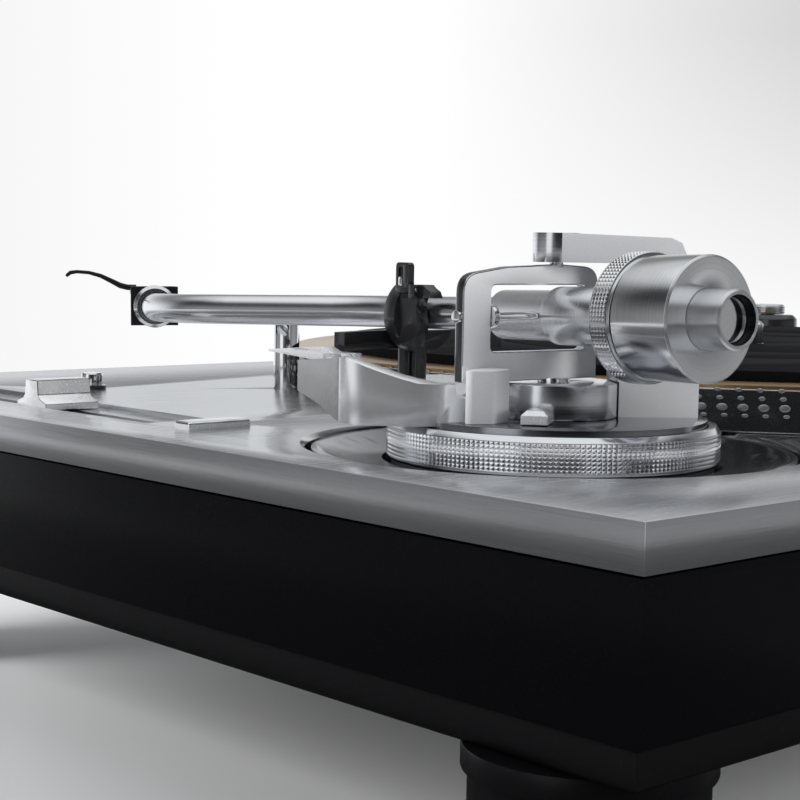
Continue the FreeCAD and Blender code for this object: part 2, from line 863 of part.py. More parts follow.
def make_strobe_pillar():
    """The strobe pillar with the power dial set off centre on its top."""
    body = new_body("strobe_pillar", dims.pillar_x, dims.pillar_y, deck_top)
    turn(body, [
        (0, 0),
        (dims.pillar_radius, 0),
        (dims.pillar_radius, dims.pillar_height - dims.pillar_bevel),
        (dims.pillar_radius - dims.pillar_bevel, dims.pillar_height),
        (0, dims.pillar_height),
    ])
    pocket(body, circles=[(dims.dial_offset, -dims.dial_offset,
                           dims.dial_stem_radius + dims.run_gap)],
           top=dims.pillar_height, depth=dims.dial_stem_depth + dims.fit_gap)
    dial = new_body("power_dial", dims.pillar_x + dims.dial_offset,
                    dims.pillar_y - dims.dial_offset, deck_top + dims.pillar_height)
    turn(dial, [
        (0, -dims.dial_stem_depth),
        (dims.dial_stem_radius, -dims.dial_stem_depth),
        (dims.dial_stem_radius, dims.fit_gap),
        (dims.dial_radius, dims.fit_gap),
        (dims.dial_radius, dims.dial_height - dims.dial_bevel),
        (dims.dial_radius - dims.dial_bevel, dims.dial_height),
        (0, dims.dial_height),
    ])


def make_button(label, x, y, width, depth, height):
    """A push button that stands through the top panel, with rounded upright edges."""
    body = new_body(label, x, y, deck_top)
    pad(body, [box_points(width, depth)], bottom=-dims.button_depth,
        height=dims.button_depth + height)
    soften(body, "Fillet", dims.button_round, is_upright)
    soften(body, "Chamfer", dims.button_bevel, lies_at(Size.of(height).value))


def make_fader():
    """The pitch fader's knob, flared at its foot, with a stem that runs in a rail."""
    floor = deck_top - dims.fader_recess
    body = new_body("fader_knob", dims.fader_x, dims.fader_y, floor)
    foot = dims.knob_foot / 2
    grip = dims.knob_grip / 2
    step = dims.fit_gap + dims.knob_foot_height
    top = dims.fader_recess + dims.knob_height
    flare = (foot - grip) / 3
    rise = (top - step) / 3
    right = [(foot, dims.fit_gap), (foot, step), (grip + flare, step + rise / 2),
             (grip + flare / 3, step + rise), (grip, top)]
    left = [(-x, z) for x, z in reversed(right)]
    pad(body, [right + left], bottom=-dims.knob_width / 2, height=dims.knob_width,
        plane="YZ_Plane")
    pad(body, [box_points(dims.knob_stem_width, dims.knob_stem_length)],
        bottom=-dims.knob_stem_depth, height=dims.knob_stem_depth + step)
    rail = new_body("fader_rail", dims.fader_x, dims.fader_y, cabinet_top)
    depth = dims.knob_stem_depth + dims.fader_recess - dims.deck_thickness + dims.rail_floor * 2
    pad(rail, [box_points(dims.rail_width, dims.fader_length)], bottom=-depth, height=depth)
    pocket(rail, [box_points(dims.fader_slot_width, dims.fader_slot_length)],
           depth=depth - dims.rail_floor)


def make_stylus_light():
    """The pop-up light post, and the button beside it with its collar ring."""
    post = new_body("light_post", dims.light_x, dims.light_y, deck_top)
    turn(post, [
        (0, -dims.light_depth),
        (dims.light_radius, -dims.light_depth),
        (dims.light_radius, dims.light_rise - dims.light_bevel),
        (dims.light_radius - dims.light_bevel, dims.light_rise),
        (0, dims.light_rise),
    ])
    radius = dims.light_button_radius
    button = new_body("light_button", dims.light_button_x, dims.light_button_y, deck_top)
    turn(button, [
        (0, -dims.button_depth),
        (radius, -dims.button_depth),
        (radius, dims.light_button_height - dims.button_bevel),
        (radius - dims.button_bevel, dims.light_button_height),
        (0, dims.light_button_height),
    ])
    ring = new_body("light_button_ring", dims.light_button_x, dims.light_button_y, deck_top)
    turn(ring, ring_outline(radius + dims.run_gap, dims.light_ring_radius,
                            0, dims.light_ring_height))


def make_adaptor():
    """The loose adaptor for records with a large hole, lying in its recess."""
    body = new_body("adaptor_45", dims.adaptor_x, dims.adaptor_y,
                    deck_top - dims.adaptor_recess)
    bore = dims.spindle_radius + dims.run_gap
    turn(body, [
        (bore, 0),
        (dims.adaptor_radius, 0),
        (dims.adaptor_radius, dims.adaptor_height - dims.adaptor_bevel),
        (dims.adaptor_radius - dims.adaptor_bevel, dims.adaptor_height),
        (bore, dims.adaptor_height),
    ])


# Tonearm base

def at_pivot(label, heading=0):
    """Starts a sub-part on the arm's vertical axis, turned to a heading in degrees."""
    rotation = Rotation(Vector(0, 0, 1), Size.of(heading).value)
    return new_body(label, dims.pivot_x, dims.pivot_y, deck_top, rotation)


def make_arm_mount():
    """The dished flange in the deck, the tube below it and the turning height ring."""
    seat_top = -dims.deck_thickness
    seat = seat_top - dims.flange_seat_height
    lip = dims.flange_radius - dims.flange_lip
    flange = at_pivot("arm_flange")
    turn(flange, [
        (dims.dish_bore, seat),
        (dims.flange_seat_radius, seat),
        (dims.flange_seat_radius, seat_top),
        (dims.flange_radius, seat_top),
        (dims.flange_radius, -dims.flange_drop),
        (lip, -dims.flange_drop),
        (dims.dish_flat_radius, -dims.dish_depth),
        (dims.dish_bore, -dims.dish_depth),
    ])
    base = at_pivot("arm_base")
    turn(base, [
        (dims.arm_tube_bore, seat - dims.arm_seat_height),
        (dims.flange_radius, seat - dims.arm_seat_height),
        (dims.flange_radius, seat),
        (dims.arm_shoulder_radius, seat),
        (dims.arm_shoulder_radius, -dims.arm_shoulder_drop),
        (dims.arm_tube_radius, -dims.arm_shoulder_drop),
        (dims.arm_tube_radius, dims.arm_tube_top),
        (dims.arm_tube_bore, dims.arm_tube_top),
    ])
    inner = dims.arm_tube_radius + dims.run_gap
    bottom = dims.fit_gap - dims.arm_shoulder_drop
    ring = at_pivot("height_ring")
    turn(ring, [
        (inner, bottom),
        (dims.height_ring_radius, bottom),
        (dims.height_ring_radius, dims.height_ring_top - dims.height_ring_bevel),
        (dims.height_ring_radius - dims.height_ring_bevel, dims.height_ring_top),
        (dims.platform_radius + dims.fit_gap, dims.height_ring_top),
        (dims.platform_radius + dims.fit_gap, dims.height_ring_floor),
        (inner, dims.height_ring_floor),
    ])


CASTING_WALL = [(33.5, -0.2), (38, -1.7), (42, -4), (45.2, -6.8), (48, -10), (50.9, -12.9),
                (52.5, -15), (53.3, -17.2), (53.2, -19.6), (52.3, -22.1), (30, -64)]
CASTING_LOW = [(24, -8), (30, 0.6)] + CASTING_WALL + [(0, -66), (-18, -60), (-24, -44),
                                                      (-24, -18), (-6, -26)]
CASTING_HIGH = CASTING_WALL + [(12, -60), (12, -48), (20, -34), (27.5, -22), (31.5, -10)]
CASTING_RIM_TOP = [(2, 16.3), (-4, 16.7), (-10, 19.1), (-17, 22.5), (-64, 18.3), (-70, 17.8)]
CASTING_UNDERSIDE = [(-14, 6.6), (-22, 7.4), (-38, 9.2), (-64, 10.3), (-70, 10.3)]
RIM_CENTRE = (15, -25)
RIM_WIDTH = 3.6
SKATE_HOUSING = [(36.4, 4.7), (29.5, 8.5), (22.3, 7), (22.3, 0.3), (29.4, 1.5)]


def casting_rim():
    """The outline of the rim that stands along the casting's outer wall."""
    inner = []
    for x, y in CASTING_WALL:
        across = Vector(x - RIM_CENTRE[0], y - RIM_CENTRE[1], 0).normalize() * RIM_WIDTH
        inner.append((x - across.x, y - across.y))
    return CASTING_WALL + inner[::-1]


def lift_post_place():
    """Where the lift bar's post passes through the casting."""
    angle = math.radians(dims.lift_heading.value)
    return dims.lift_radius * math.cos(angle), dims.lift_radius * math.sin(angle)


def make_platform():
    """The casting that rises with the height ring and carries the whole arm."""
    body = at_pivot("arm_platform")
    pad(body, [CASTING_LOW], bottom=dims.casting_floor,
        height=dims.casting_deck - dims.casting_floor)
    below = dims.casting_floor - 1
    pocket(body, [[(-14, below)] + CASTING_UNDERSIDE + [(-70, below)]],
           top=dims.platform_span, depth=dims.platform_span * 2, plane="YZ_Plane")
    stem = dims.arm_tube_bore - dims.run_gap
    turn(body, [
        (dims.platform_bore, -dims.platform_stem_depth),
        (stem, -dims.platform_stem_depth),
        (stem, dims.platform_bottom),
        (dims.platform_radius, dims.platform_bottom),
        (dims.platform_radius, dims.platform_top),
        (dims.platform_bore, dims.platform_top),
    ])
    pad(body, [CASTING_HIGH], bottom=dims.casting_deck - 1,
        height=dims.casting_top - dims.casting_deck + 1)
    pad(body, [casting_rim()], bottom=dims.casting_top - 1,
        height=dims.casting_peak - dims.casting_top + 1)
    above = dims.casting_peak + 1
    pocket(body, [[(2, above)] + CASTING_RIM_TOP + [(-70, above)]],
           top=dims.platform_span, depth=dims.platform_span * 2, plane="YZ_Plane")
    side = dims.cue_width / 2 + dims.fit_gap + dims.cue_lug / 2
    lugs = [box_points(dims.cue_lug, dims.cue_barrel_radius * 3, dims.cue_x + place,
                       dims.cue_hinge_y) for place in (-side, side)]
    pad(body, lugs, bottom=dims.casting_top - 1,
        height=dims.cue_hinge_z + dims.cue_barrel_radius - dims.casting_top + 1)
    reach = side + dims.cue_lug
    pocket(body, circles=[(dims.cue_hinge_y, dims.cue_hinge_z,
                           dims.cue_pin_radius + dims.run_gap)],
           top=dims.cue_x + reach, depth=reach * 2, plane="YZ_Plane")
    pocket(body, [box_points(dims.cue_width + dims.fit_gap * 2, dims.cue_channel_length,
                             dims.cue_x, dims.cue_hinge_y + dims.cue_channel_start
                             - dims.cue_channel_length / 2)],
           top=dims.casting_peak, depth=dims.casting_peak - dims.cue_channel_floor)
    angle = math.radians(dims.lever_heading.value)
    lever = dims.lever_pivot
    pocket(body, circles=[(lever * math.cos(angle), lever * math.sin(angle),
                           dims.lever_pin_radius + dims.run_gap)],
           top=dims.platform_top, depth=dims.platform_top - dims.platform_bottom)
    post_x, post_y = lift_post_place()
    pocket(body, circles=[(post_x, post_y, dims.lift_post_radius + dims.run_gap)],
           top=dims.casting_deck, depth=dims.casting_deck - dims.casting_floor)
    seat = dims.casting_top - dims.anti_skate_sink
    pocket(body, circles=[(dims.anti_skate_x, dims.anti_skate_y,
                           dims.anti_skate_radius + dims.run_gap)],
           top=dims.casting_top, depth=dims.anti_skate_sink)
    pocket(body, circles=[(dims.anti_skate_x, dims.anti_skate_y,
                           dims.dial_stem_radius + dims.run_gap)],
           top=seat, depth=dims.anti_skate_stem + dims.fit_gap)


def make_anti_skate():
    """The anti-skate housing beside the pivot and its dial on the casting."""
    housing = at_pivot("anti_skate_housing")
    pad(housing, [SKATE_HOUSING], bottom=dims.platform_top,
        height=dims.housing_top - dims.platform_top)
    soften(housing, "Fillet", dims.housing_round, is_upright)
    dial = new_body("anti_skate_dial", dims.pivot_x + dims.anti_skate_x,
                    dims.pivot_y + dims.anti_skate_y,
                    deck_top + dims.casting_top - dims.anti_skate_sink)
    turn(dial, [
        (0, -dims.anti_skate_stem),
        (dims.dial_stem_radius, -dims.anti_skate_stem),
        (dims.dial_stem_radius, dims.fit_gap),
        (dims.anti_skate_radius, dims.fit_gap),
        (dims.anti_skate_radius, dims.anti_skate_height),
        (0, dims.anti_skate_height),
    ])


def make_lock_lever():
    """The small lever with a wedge-shaped grip that locks the arm's height."""
    angle = math.radians(dims.lever_heading.value)
    rotation = Rotation(Vector(0, 0, 1), dims.lever_heading.value)
    body = new_body("lock_lever", dims.pivot_x + dims.lever_pivot * math.cos(angle),
                    dims.pivot_y + dims.lever_pivot * math.sin(angle),
                    deck_top + dims.platform_top, rotation)
    half = dims.lever_grip_width / 2
    length = dims.lever_reach - dims.lever_pivot
    pad(body, circles=[(0, 0, half)], bottom=dims.fit_gap, height=dims.lever_grip_height / 2)
    pad(body, [[(0, -half), (length, -half), (length, half), (0, half)]],
        bottom=dims.fit_gap, height=dims.lever_grip_height)
    soften(body, "Chamfer", dims.lever_bevel,
           lies_at((dims.fit_gap + dims.lever_grip_height).value))
    pad(body, circles=[(0, 0, dims.lever_pin_radius)],
        bottom=dims.platform_bottom - dims.platform_top,
        height=dims.platform_top - dims.platform_bottom + dims.fit_gap + 1)


# Gimbal

def make_lower_bearing():
    """The drum round the arm's lower vertical bearing."""
    body = at_pivot("lower_bearing")
    turn(body, ring_outline(0, dims.drum_radius, dims.platform_top, dims.drum_top))
    pocket(body, circles=[(0, 0, dims.pin_radius + dims.run_gap)],
           top=dims.drum_top, depth=dims.pin_depth + dims.fit_gap)


def make_yoke():
    """The frame that swings with the arm, on a pin above and a pin below."""
    body = at_pivot("yoke", dims.arm_heading)
    outer = dims.yoke_outer
    inner = dims.yoke_inner
    frame = [
        (-inner, dims.yoke_bottom),
        (outer, dims.yoke_bottom),
        (outer, dims.yoke_shoulder - dims.yoke_corner),
        (outer - dims.yoke_corner, dims.yoke_shoulder),
        (outer * 0.6, (dims.yoke_shoulder + dims.yoke_top * 2) / 3),
        (0, dims.yoke_top),
        (dims.yoke_corner - inner, dims.yoke_top - dims.yoke_corner / 4),
        (-inner, dims.yoke_top - dims.yoke_corner),
    ]
    left = dims.yoke_inner_leg - inner
    right = outer - dims.yoke_leg
    sill = dims.yoke_bottom + dims.yoke_sill
    head = dims.yoke_top - dims.yoke_head
    window = [(left, sill), (right, sill), (right, head), (left, head)]
    pad(body, [frame, window], bottom=-dims.yoke_thickness / 2, height=dims.yoke_thickness,
        plane="YZ_Plane")
    pad(body, circles=[(0, 0, dims.top_pin_radius)], bottom=dims.yoke_top - 1,
        height=dims.top_pin_rise + 1)
    pad(body, circles=[(0, 0, dims.pin_radius)], bottom=dims.drum_top - dims.pin_depth,
        height=dims.yoke_bottom + 1 - dims.drum_top + dims.pin_depth)
    pocket(body, circles=[(0, dims.arm_axis, dims.side_pin_radius + dims.run_gap)],
           top=-(outer + 1), depth=outer + inner + 2, plane="XZ_Plane", reverse=True)


def make_bearing_screws():
    """The two screws on the arm's tilt axis, with lock nuts inside the yoke."""
    body = at_pivot("bearing_screws", dims.arm_heading)
    body.AllowCompound = True
    near = dims.bearing_housing_radius + dims.run_gap
    screw = (0, dims.arm_axis, dims.side_pin_radius)
    nut = (0, dims.arm_axis, dims.side_nut_radius)
    head = (0, dims.arm_axis, dims.side_head_radius)
    leg = dims.yoke_outer - dims.yoke_leg
    pad(body, circles=[screw], bottom=-dims.yoke_outer, height=dims.yoke_outer - near,
        plane="XZ_Plane")
    pad(body, circles=[nut], bottom=-leg, height=dims.side_nut_height, plane="XZ_Plane")
    pad(body, circles=[head], bottom=-(dims.yoke_outer + dims.side_head_height),
        height=dims.side_head_height, plane="XZ_Plane")
    pad(body, circles=[screw], bottom=near, height=dims.yoke_inner - near, plane="XZ_Plane")
    pad(body, circles=[head], bottom=dims.yoke_inner, height=dims.side_head_height / 2,
        plane="XZ_Plane")


def make_bridge():
    """The fixed arm over the yoke that holds the upper vertical bearing."""
    body = at_pivot("bridge", dims.bridge_heading)
    half = dims.bridge_width / 2
    end = dims.bridge_length
    fallen = dims.bridge_top - dims.bridge_slope
    side = [
        (0, dims.bridge_bottom),
        (dims.column_start, dims.bridge_bottom),
        (dims.column_start, dims.platform_top),
        (dims.column_reach, dims.platform_top),
        (dims.column_reach, dims.column_shoulder),
        (end, dims.bridge_bottom),
        (end, fallen - dims.bridge_round),
        (end - dims.bridge_round * 0.3, fallen - dims.bridge_round * 0.3),
        (end - dims.bridge_round, fallen),
        (0, dims.bridge_top),
    ]
    pad(body, [side], bottom=-half, height=dims.bridge_width, plane="XZ_Plane")
    pad(body, circles=[(0, 0, half)], bottom=dims.bridge_bottom,
        height=dims.bridge_top - dims.bridge_bottom)
    pocket(body, circles=[(0, 0, dims.drum_radius + dims.fit_gap)],
           top=dims.drum_top + dims.fit_gap,
           depth=dims.drum_top + dims.fit_gap - dims.platform_top)
    pocket(body, circles=[(0, 0, dims.top_pin_radius + dims.run_gap)],
           top=dims.yoke_top + dims.top_pin_rise + dims.fit_gap,
           depth=dims.yoke_top + dims.top_pin_rise + dims.fit_gap - dims.bridge_bottom)


# Cueing and arm rest

CUE_BLADE = [(-30.5, 0.5), (-30.5, 1), (-6, 3.1), (6.5, -1.4), (-3, -1.1), (-15, -0.3)]
CUE_TAPER = [(0.4, -31), (3, -31), (3, -5), (2.01, -5)]


def make_cue_lever():
    """The pointed cue lever on its hinge barrel."""
    body = new_body("cue_lever", dims.pivot_x + dims.cue_x, dims.pivot_y + dims.cue_hinge_y,
                    deck_top + dims.cue_hinge_z)
    half = dims.cue_width / 2
    pad(body, [CUE_BLADE], bottom=-half, height=dims.cue_width, plane="YZ_Plane")
    pocket(body, [CUE_TAPER, [(-x, y) for x, y in CUE_TAPER]], top=half, depth=dims.cue_width)
    pad(body, circles=[(0, 0, dims.cue_barrel_radius)], bottom=-half, height=dims.cue_width,
        plane="YZ_Plane")
    pin = half + dims.fit_gap + dims.cue_lug
    pad(body, circles=[(0, 0, dims.cue_pin_radius)], bottom=-pin, height=pin * 2,
        plane="YZ_Plane")


def make_lift_bar():
    """The curved bar that raises the arm, on its post."""
    body = at_pivot("lift_bar", dims.lift_heading)
    half = dims.lift_width / 2
    sketch = new_sketch(body, "XZ_Plane")
    draw_loop(sketch, ring_outline(dims.lift_radius - half, dims.lift_radius + half,
                                   dims.lift_top - dims.lift_thickness, dims.lift_top))
    arc = body.newObject("PartDesign::Revolution", "Revolution")
    arc.Profile = sketch
    arc.ReferenceAxis = (sketch, ["V_Axis"])
    arc.Midplane = True
    arc.Angle = 2 * dims.lift_half_angle.value
    arc.setExpression("Angle", (dims.lift_half_angle * 2).text)
    doc.recompute()
    pad(body, circles=[(dims.lift_radius, 0, dims.lift_post_radius)],
        bottom=dims.casting_floor,
        height=dims.lift_top - dims.lift_thickness / 2 - dims.casting_floor)


rest_tube_bottom = (dims.arm_axis - dims.arm_slope * (dims.rest_reach + dims.rest_length)
                    - dims.tube_radius)
rest_floor_top = rest_tube_bottom - dims.fit_gap
rest_floor = rest_floor_top - dims.rest_floor_height
rest_side = dims.tube_radius + dims.rest_side_gap
rest_outside = rest_side + dims.rest_wall
clamp_middle = rest_outside + dims.clamp_thickness / 2


def make_arm_rest():
    """The arm rest: a round cradle under the tube, a wall outside it, and a thin post."""
    body = at_pivot("arm_rest", dims.arm_heading)
    axis = rest_tube_bottom + dims.tube_radius - dims.rest_cradle_drop
    pad(body, circles=[(0, axis, dims.rest_cradle_radius)], bottom=dims.rest_cradle_start,
        height=dims.rest_cradle_length, plane="YZ_Plane")
    pocket(body, [[(-20, rest_floor_top), (rest_side, rest_floor_top), (rest_side, 60), (-20, 60)]],
           top=dims.rest_cradle_start + dims.rest_cradle_length,
           depth=dims.rest_cradle_length, plane="YZ_Plane")
    front = dims.rest_reach + dims.rest_length / 2
    rear = dims.rest_reach - dims.rest_length / 2
    nose = rear - dims.rest_fin_reach
    step = dims.rest_reach - dims.clamp_width / 2 - dims.fit_gap
    under = dims.rest_wall_top + dims.fit_gap
    wall = [
        (rear + 2, rest_floor + 1),
        (front, rest_floor + 1),
        (front, dims.rest_wall_top),
        (step, dims.rest_wall_top),
        (step, dims.rest_fin_top),
        (rear - 2, dims.rest_fin_top),
        (nose + 3, dims.rest_fin_top - 0.8),
        (nose + 1, (dims.rest_fin_top + under) / 2),
        (nose, under),
        (rear, under),
        (rear + 1, dims.rest_wall_top - 2),
        (rear, dims.rest_wall_top - 8),
    ]
    pad(body, [wall], bottom=-rest_outside, height=dims.rest_wall, plane="XZ_Plane")
    lug = [box_points(dims.clamp_lug, dims.clamp_thickness + 1, step - dims.clamp_lug / 2,
                      rest_outside + dims.clamp_thickness / 2 - 0.5)]
    pad(body, lug, bottom=dims.rest_wall_top, height=dims.rest_fin_top - dims.rest_wall_top)
    pocket(body, circles=[(clamp_middle, dims.clamp_hinge,
                           dims.clamp_pin_radius + dims.run_gap)],
           top=step, depth=dims.clamp_lug, plane="YZ_Plane")
    pad(body, circles=[(dims.rest_foot_reach, 0, dims.rest_foot_radius)],
        bottom=dims.casting_deck, height=rest_floor + 2 - dims.casting_deck)


def make_rest_clamp():
    """The upright clamp that folds over the tube in its rest, on a barrel and a pin."""
    body = at_pivot("rest_clamp", dims.arm_heading)
    rear = dims.rest_reach - dims.clamp_width / 2
    half = dims.clamp_thickness / 2
    pad(body, circles=[(clamp_middle, dims.clamp_hinge, half)], bottom=rear,
        height=dims.clamp_width, plane="YZ_Plane")
    pad(body, [box_points(dims.clamp_width, dims.clamp_thickness, dims.rest_reach,
                          clamp_middle)],
        bottom=dims.clamp_hinge, height=dims.clamp_top - dims.clamp_hinge)
    pin = dims.fit_gap + dims.clamp_lug
    pad(body, circles=[(clamp_middle, dims.clamp_hinge, dims.clamp_pin_radius)],
        bottom=rear - pin, height=pin + 1, plane="YZ_Plane")


# Arm

def arm_frame():
    """The arm's own frame: X along the tube, Y outwards, on the tilt axis."""
    lean = math.degrees(math.atan(dims.arm_slope.value))
    heading = Placement(Vector(dims.pivot_x.value, dims.pivot_y.value,
                               (deck_top + dims.arm_axis).value),
                        Rotation(Vector(0, 0, 1), dims.arm_heading.value))
    return heading.multiply(Placement(Vector(), Rotation(Vector(0, 1, 0), lean)))


def arm_body(label, along=0, aside=0, turned=0):
    """Starts a sub-part in the arm's frame, or in one moved and turned within it."""
    local = Placement(Vector(along, aside, 0), Rotation(Vector(0, 0, 1), turned))
    body = doc.addObject("PartDesign::Body", label)
    body.Label = label
    body.Placement = arm_frame().multiply(local)
    sub_parts.append(body)
    return body


def tube_route():
    """The tube's straight runs as corner points in the arm's frame."""
    first = math.radians(dims.bend_one.value)
    last = first - math.radians(dims.bend_two.value)
    corner_one = Vector(dims.tube_first.value, 0, 0)
    corner_two = corner_one + Vector(math.cos(first), math.sin(first), 0) * dims.tube_second.value
    end = corner_two + Vector(math.cos(last), math.sin(last), 0) * dims.tube_third.value
    start = Vector(-dims.tube_start.value, 0, 0)
    return [start, corner_one, corner_two, end]


def rounded_wire(points, radius):
    """Joins straight runs with tangent arcs of one radius."""
    edges = []
    here = points[0]
    for before, corner, after in zip(points, points[1:], points[2:]):
        back = (before - corner).normalize()
        ahead = (after - corner).normalize()
        half_turn = (math.pi - back.getAngle(ahead)) / 2
        reach = radius * math.tan(half_turn)
        start = corner + back * reach
        end = corner + ahead * reach
        middle = corner + (back + ahead).normalize() * (radius / math.cos(half_turn) - radius)
        edges.append(Part.makeLine(here, start))
        edges.append(Part.Arc(start, middle, end).toShape())
        here = end
    edges.append(Part.makeLine(here, points[-1]))
    return Part.Wire(edges)


def swept_round(wire, radius):
    """A round bar along a wire that starts in the X direction."""
    start = wire.Edges[0].Vertexes[0].Point
    disc = Part.Wire(Part.makeCircle(radius, start, Vector(1, 0, 0)))
    return wire.makePipeShell([disc], True, True)


def make_arm_tube():
    """The S-shaped tube, bent twice, as a hollow sweep read from the sheet."""
    wire = rounded_wire(tube_route(), dims.bend_radius.value)
    outer = swept_round(wire, dims.tube_radius.value)
    inner = swept_round(wire, (dims.tube_radius - dims.tube_wall).value)
    tube = doc.addObject("Part::Feature", "arm_tube")
    tube.Label = "arm_tube"
    tube.Shape = outer.cut(inner)
    tube.Placement = arm_frame()
    sub_parts.append(tube)


def make_arm_core():
    """The bearing housing round the tilt axis and the shaft behind it."""
    housing = arm_body("arm_bearing_housing")
    inner = dims.tube_radius + dims.run_gap
    sleeve = dims.bearing_sleeve_front
    turn(housing, [
        (-dims.bearing_rear, inner),
        (dims.bearing_front, inner),
        (dims.bearing_front, dims.bearing_housing_radius),
        (sleeve, dims.bearing_housing_radius),
        (sleeve - dims.bearing_sleeve_bevel, dims.bearing_sleeve_radius),
        (-dims.bearing_rear, dims.bearing_sleeve_radius),
    ], "H_Axis")
    shaft = arm_body("rear_shaft")
    turn(shaft, [
        (-dims.shaft_end, 0),
        (-dims.shaft_end, dims.shaft_radius),
        (-dims.bearing_rear, dims.shaft_radius),
        (-dims.bearing_rear, dims.tube_radius),
        (-dims.tube_start, dims.tube_radius),
        (-dims.tube_start, 0),
    ], "H_Axis")


def make_counterweight():
    """The scale ring and the counterweight with its dished rear face and hub."""
    inner = dims.shaft_radius + dims.run_gap
    ring_end = -(dims.scale_front + dims.scale_length)
    ring = arm_body("scale_ring")
    turn(ring, ring_along(inner, dims.scale_radius, ring_end, -dims.scale_front), "H_Axis")
    front = ring_end - dims.fit_gap
    rear = front - dims.weight_length
    weight = arm_body("counterweight")
    turn(weight, [
        (front, inner),
        (front, dims.weight_radius),
        (rear, dims.weight_radius),
        (rear + dims.weight_dish, dims.weight_hub_radius),
        (-dims.weight_hub_end, dims.weight_hub_radius),
        (-dims.weight_hub_end, inner + dims.weight_socket),
        (-(dims.shaft_end + dims.fit_gap), inner + dims.weight_socket),
        (-(dims.shaft_end + dims.fit_gap), inner),
    ], "H_Axis")


def ring_along(inner, outer, rear, front):
    """A rectangle to be turned round the X axis."""
    return [(rear, inner), (front, inner), (front, outer), (rear, outer)]


def head_frame():
    """Where the tube's last run starts and which way it points, in the arm's frame."""
    route = tube_route()
    run = route[3] - route[2]
    return route[2], math.degrees(math.atan2(run.y, run.x))


def head_body(label):
    """Starts a sub-part in the frame of the tube's last run."""
    corner, angle = head_frame()
    return arm_body(label, corner.x, corner.y, angle)


def make_head():
    """The locking collar, the headshell with its cartridge slots, and the finger lift."""
    collar = head_body("locking_collar")
    turn(collar, ring_along(dims.tube_radius + dims.run_gap, dims.collar_radius,
                            dims.collar_reach, dims.collar_reach + dims.collar_length), "H_Axis")
    rear = dims.collar_reach + dims.collar_length + dims.fit_gap
    shell = head_body("headshell")
    half_width = dims.head_width / 2
    half_height = dims.head_height / 2
    pad(shell, [[(rear, -half_width), (rear + dims.head_block, -half_width),
                 (rear + dims.head_block, half_width), (rear, half_width)]],
        bottom=-half_height, height=dims.head_height)
    plate_bottom = half_height - dims.head_plate
    pad(shell, [[(rear, -half_width), (rear + dims.head_length, -half_width),
                 (rear + dims.head_length, half_width), (rear, half_width)]],
        bottom=plate_bottom, height=dims.head_plate)
    slots = [box_points(dims.cartridge_slot, dims.cartridge_slot_width,
                        rear + dims.head_length - dims.cartridge_setback,
                        dims.cartridge_spacing * side / 2) for side in (-1, 1)]
    pocket(shell, slots, top=half_height, depth=dims.head_plate)
    tube_end = dims.tube_third + dims.fit_gap
    pad(shell, circles=[(0, 0, dims.head_stem_radius)], bottom=tube_end,
        height=rear + 1 - tube_end, plane="YZ_Plane")
    lift = head_body("finger_lift")
    thickness = dims.finger_thickness
    tip = half_width + dims.finger_reach
    rise = half_height + dims.finger_rise
    curve = [(half_width, half_height), (half_width + dims.finger_reach * 0.45, rise - 1.6),
             (tip - 2, rise), (tip, rise - 2.4)]
    outline = [(y, z - thickness) for y, z in curve]
    outline += [(y, z) for y, z in reversed(curve)]
    pad(lift, [outline], bottom=rear + dims.finger_setback, height=dims.finger_width,
        plane="YZ_Plane")


# Rear panel and inside

def rear_rotation():
    """Turns a body so that its own Z axis points out of the deck's rear."""
    return Rotation(Vector(1, 0, 0), -90)


rear_face = half_depth - dims.cabinet_inset


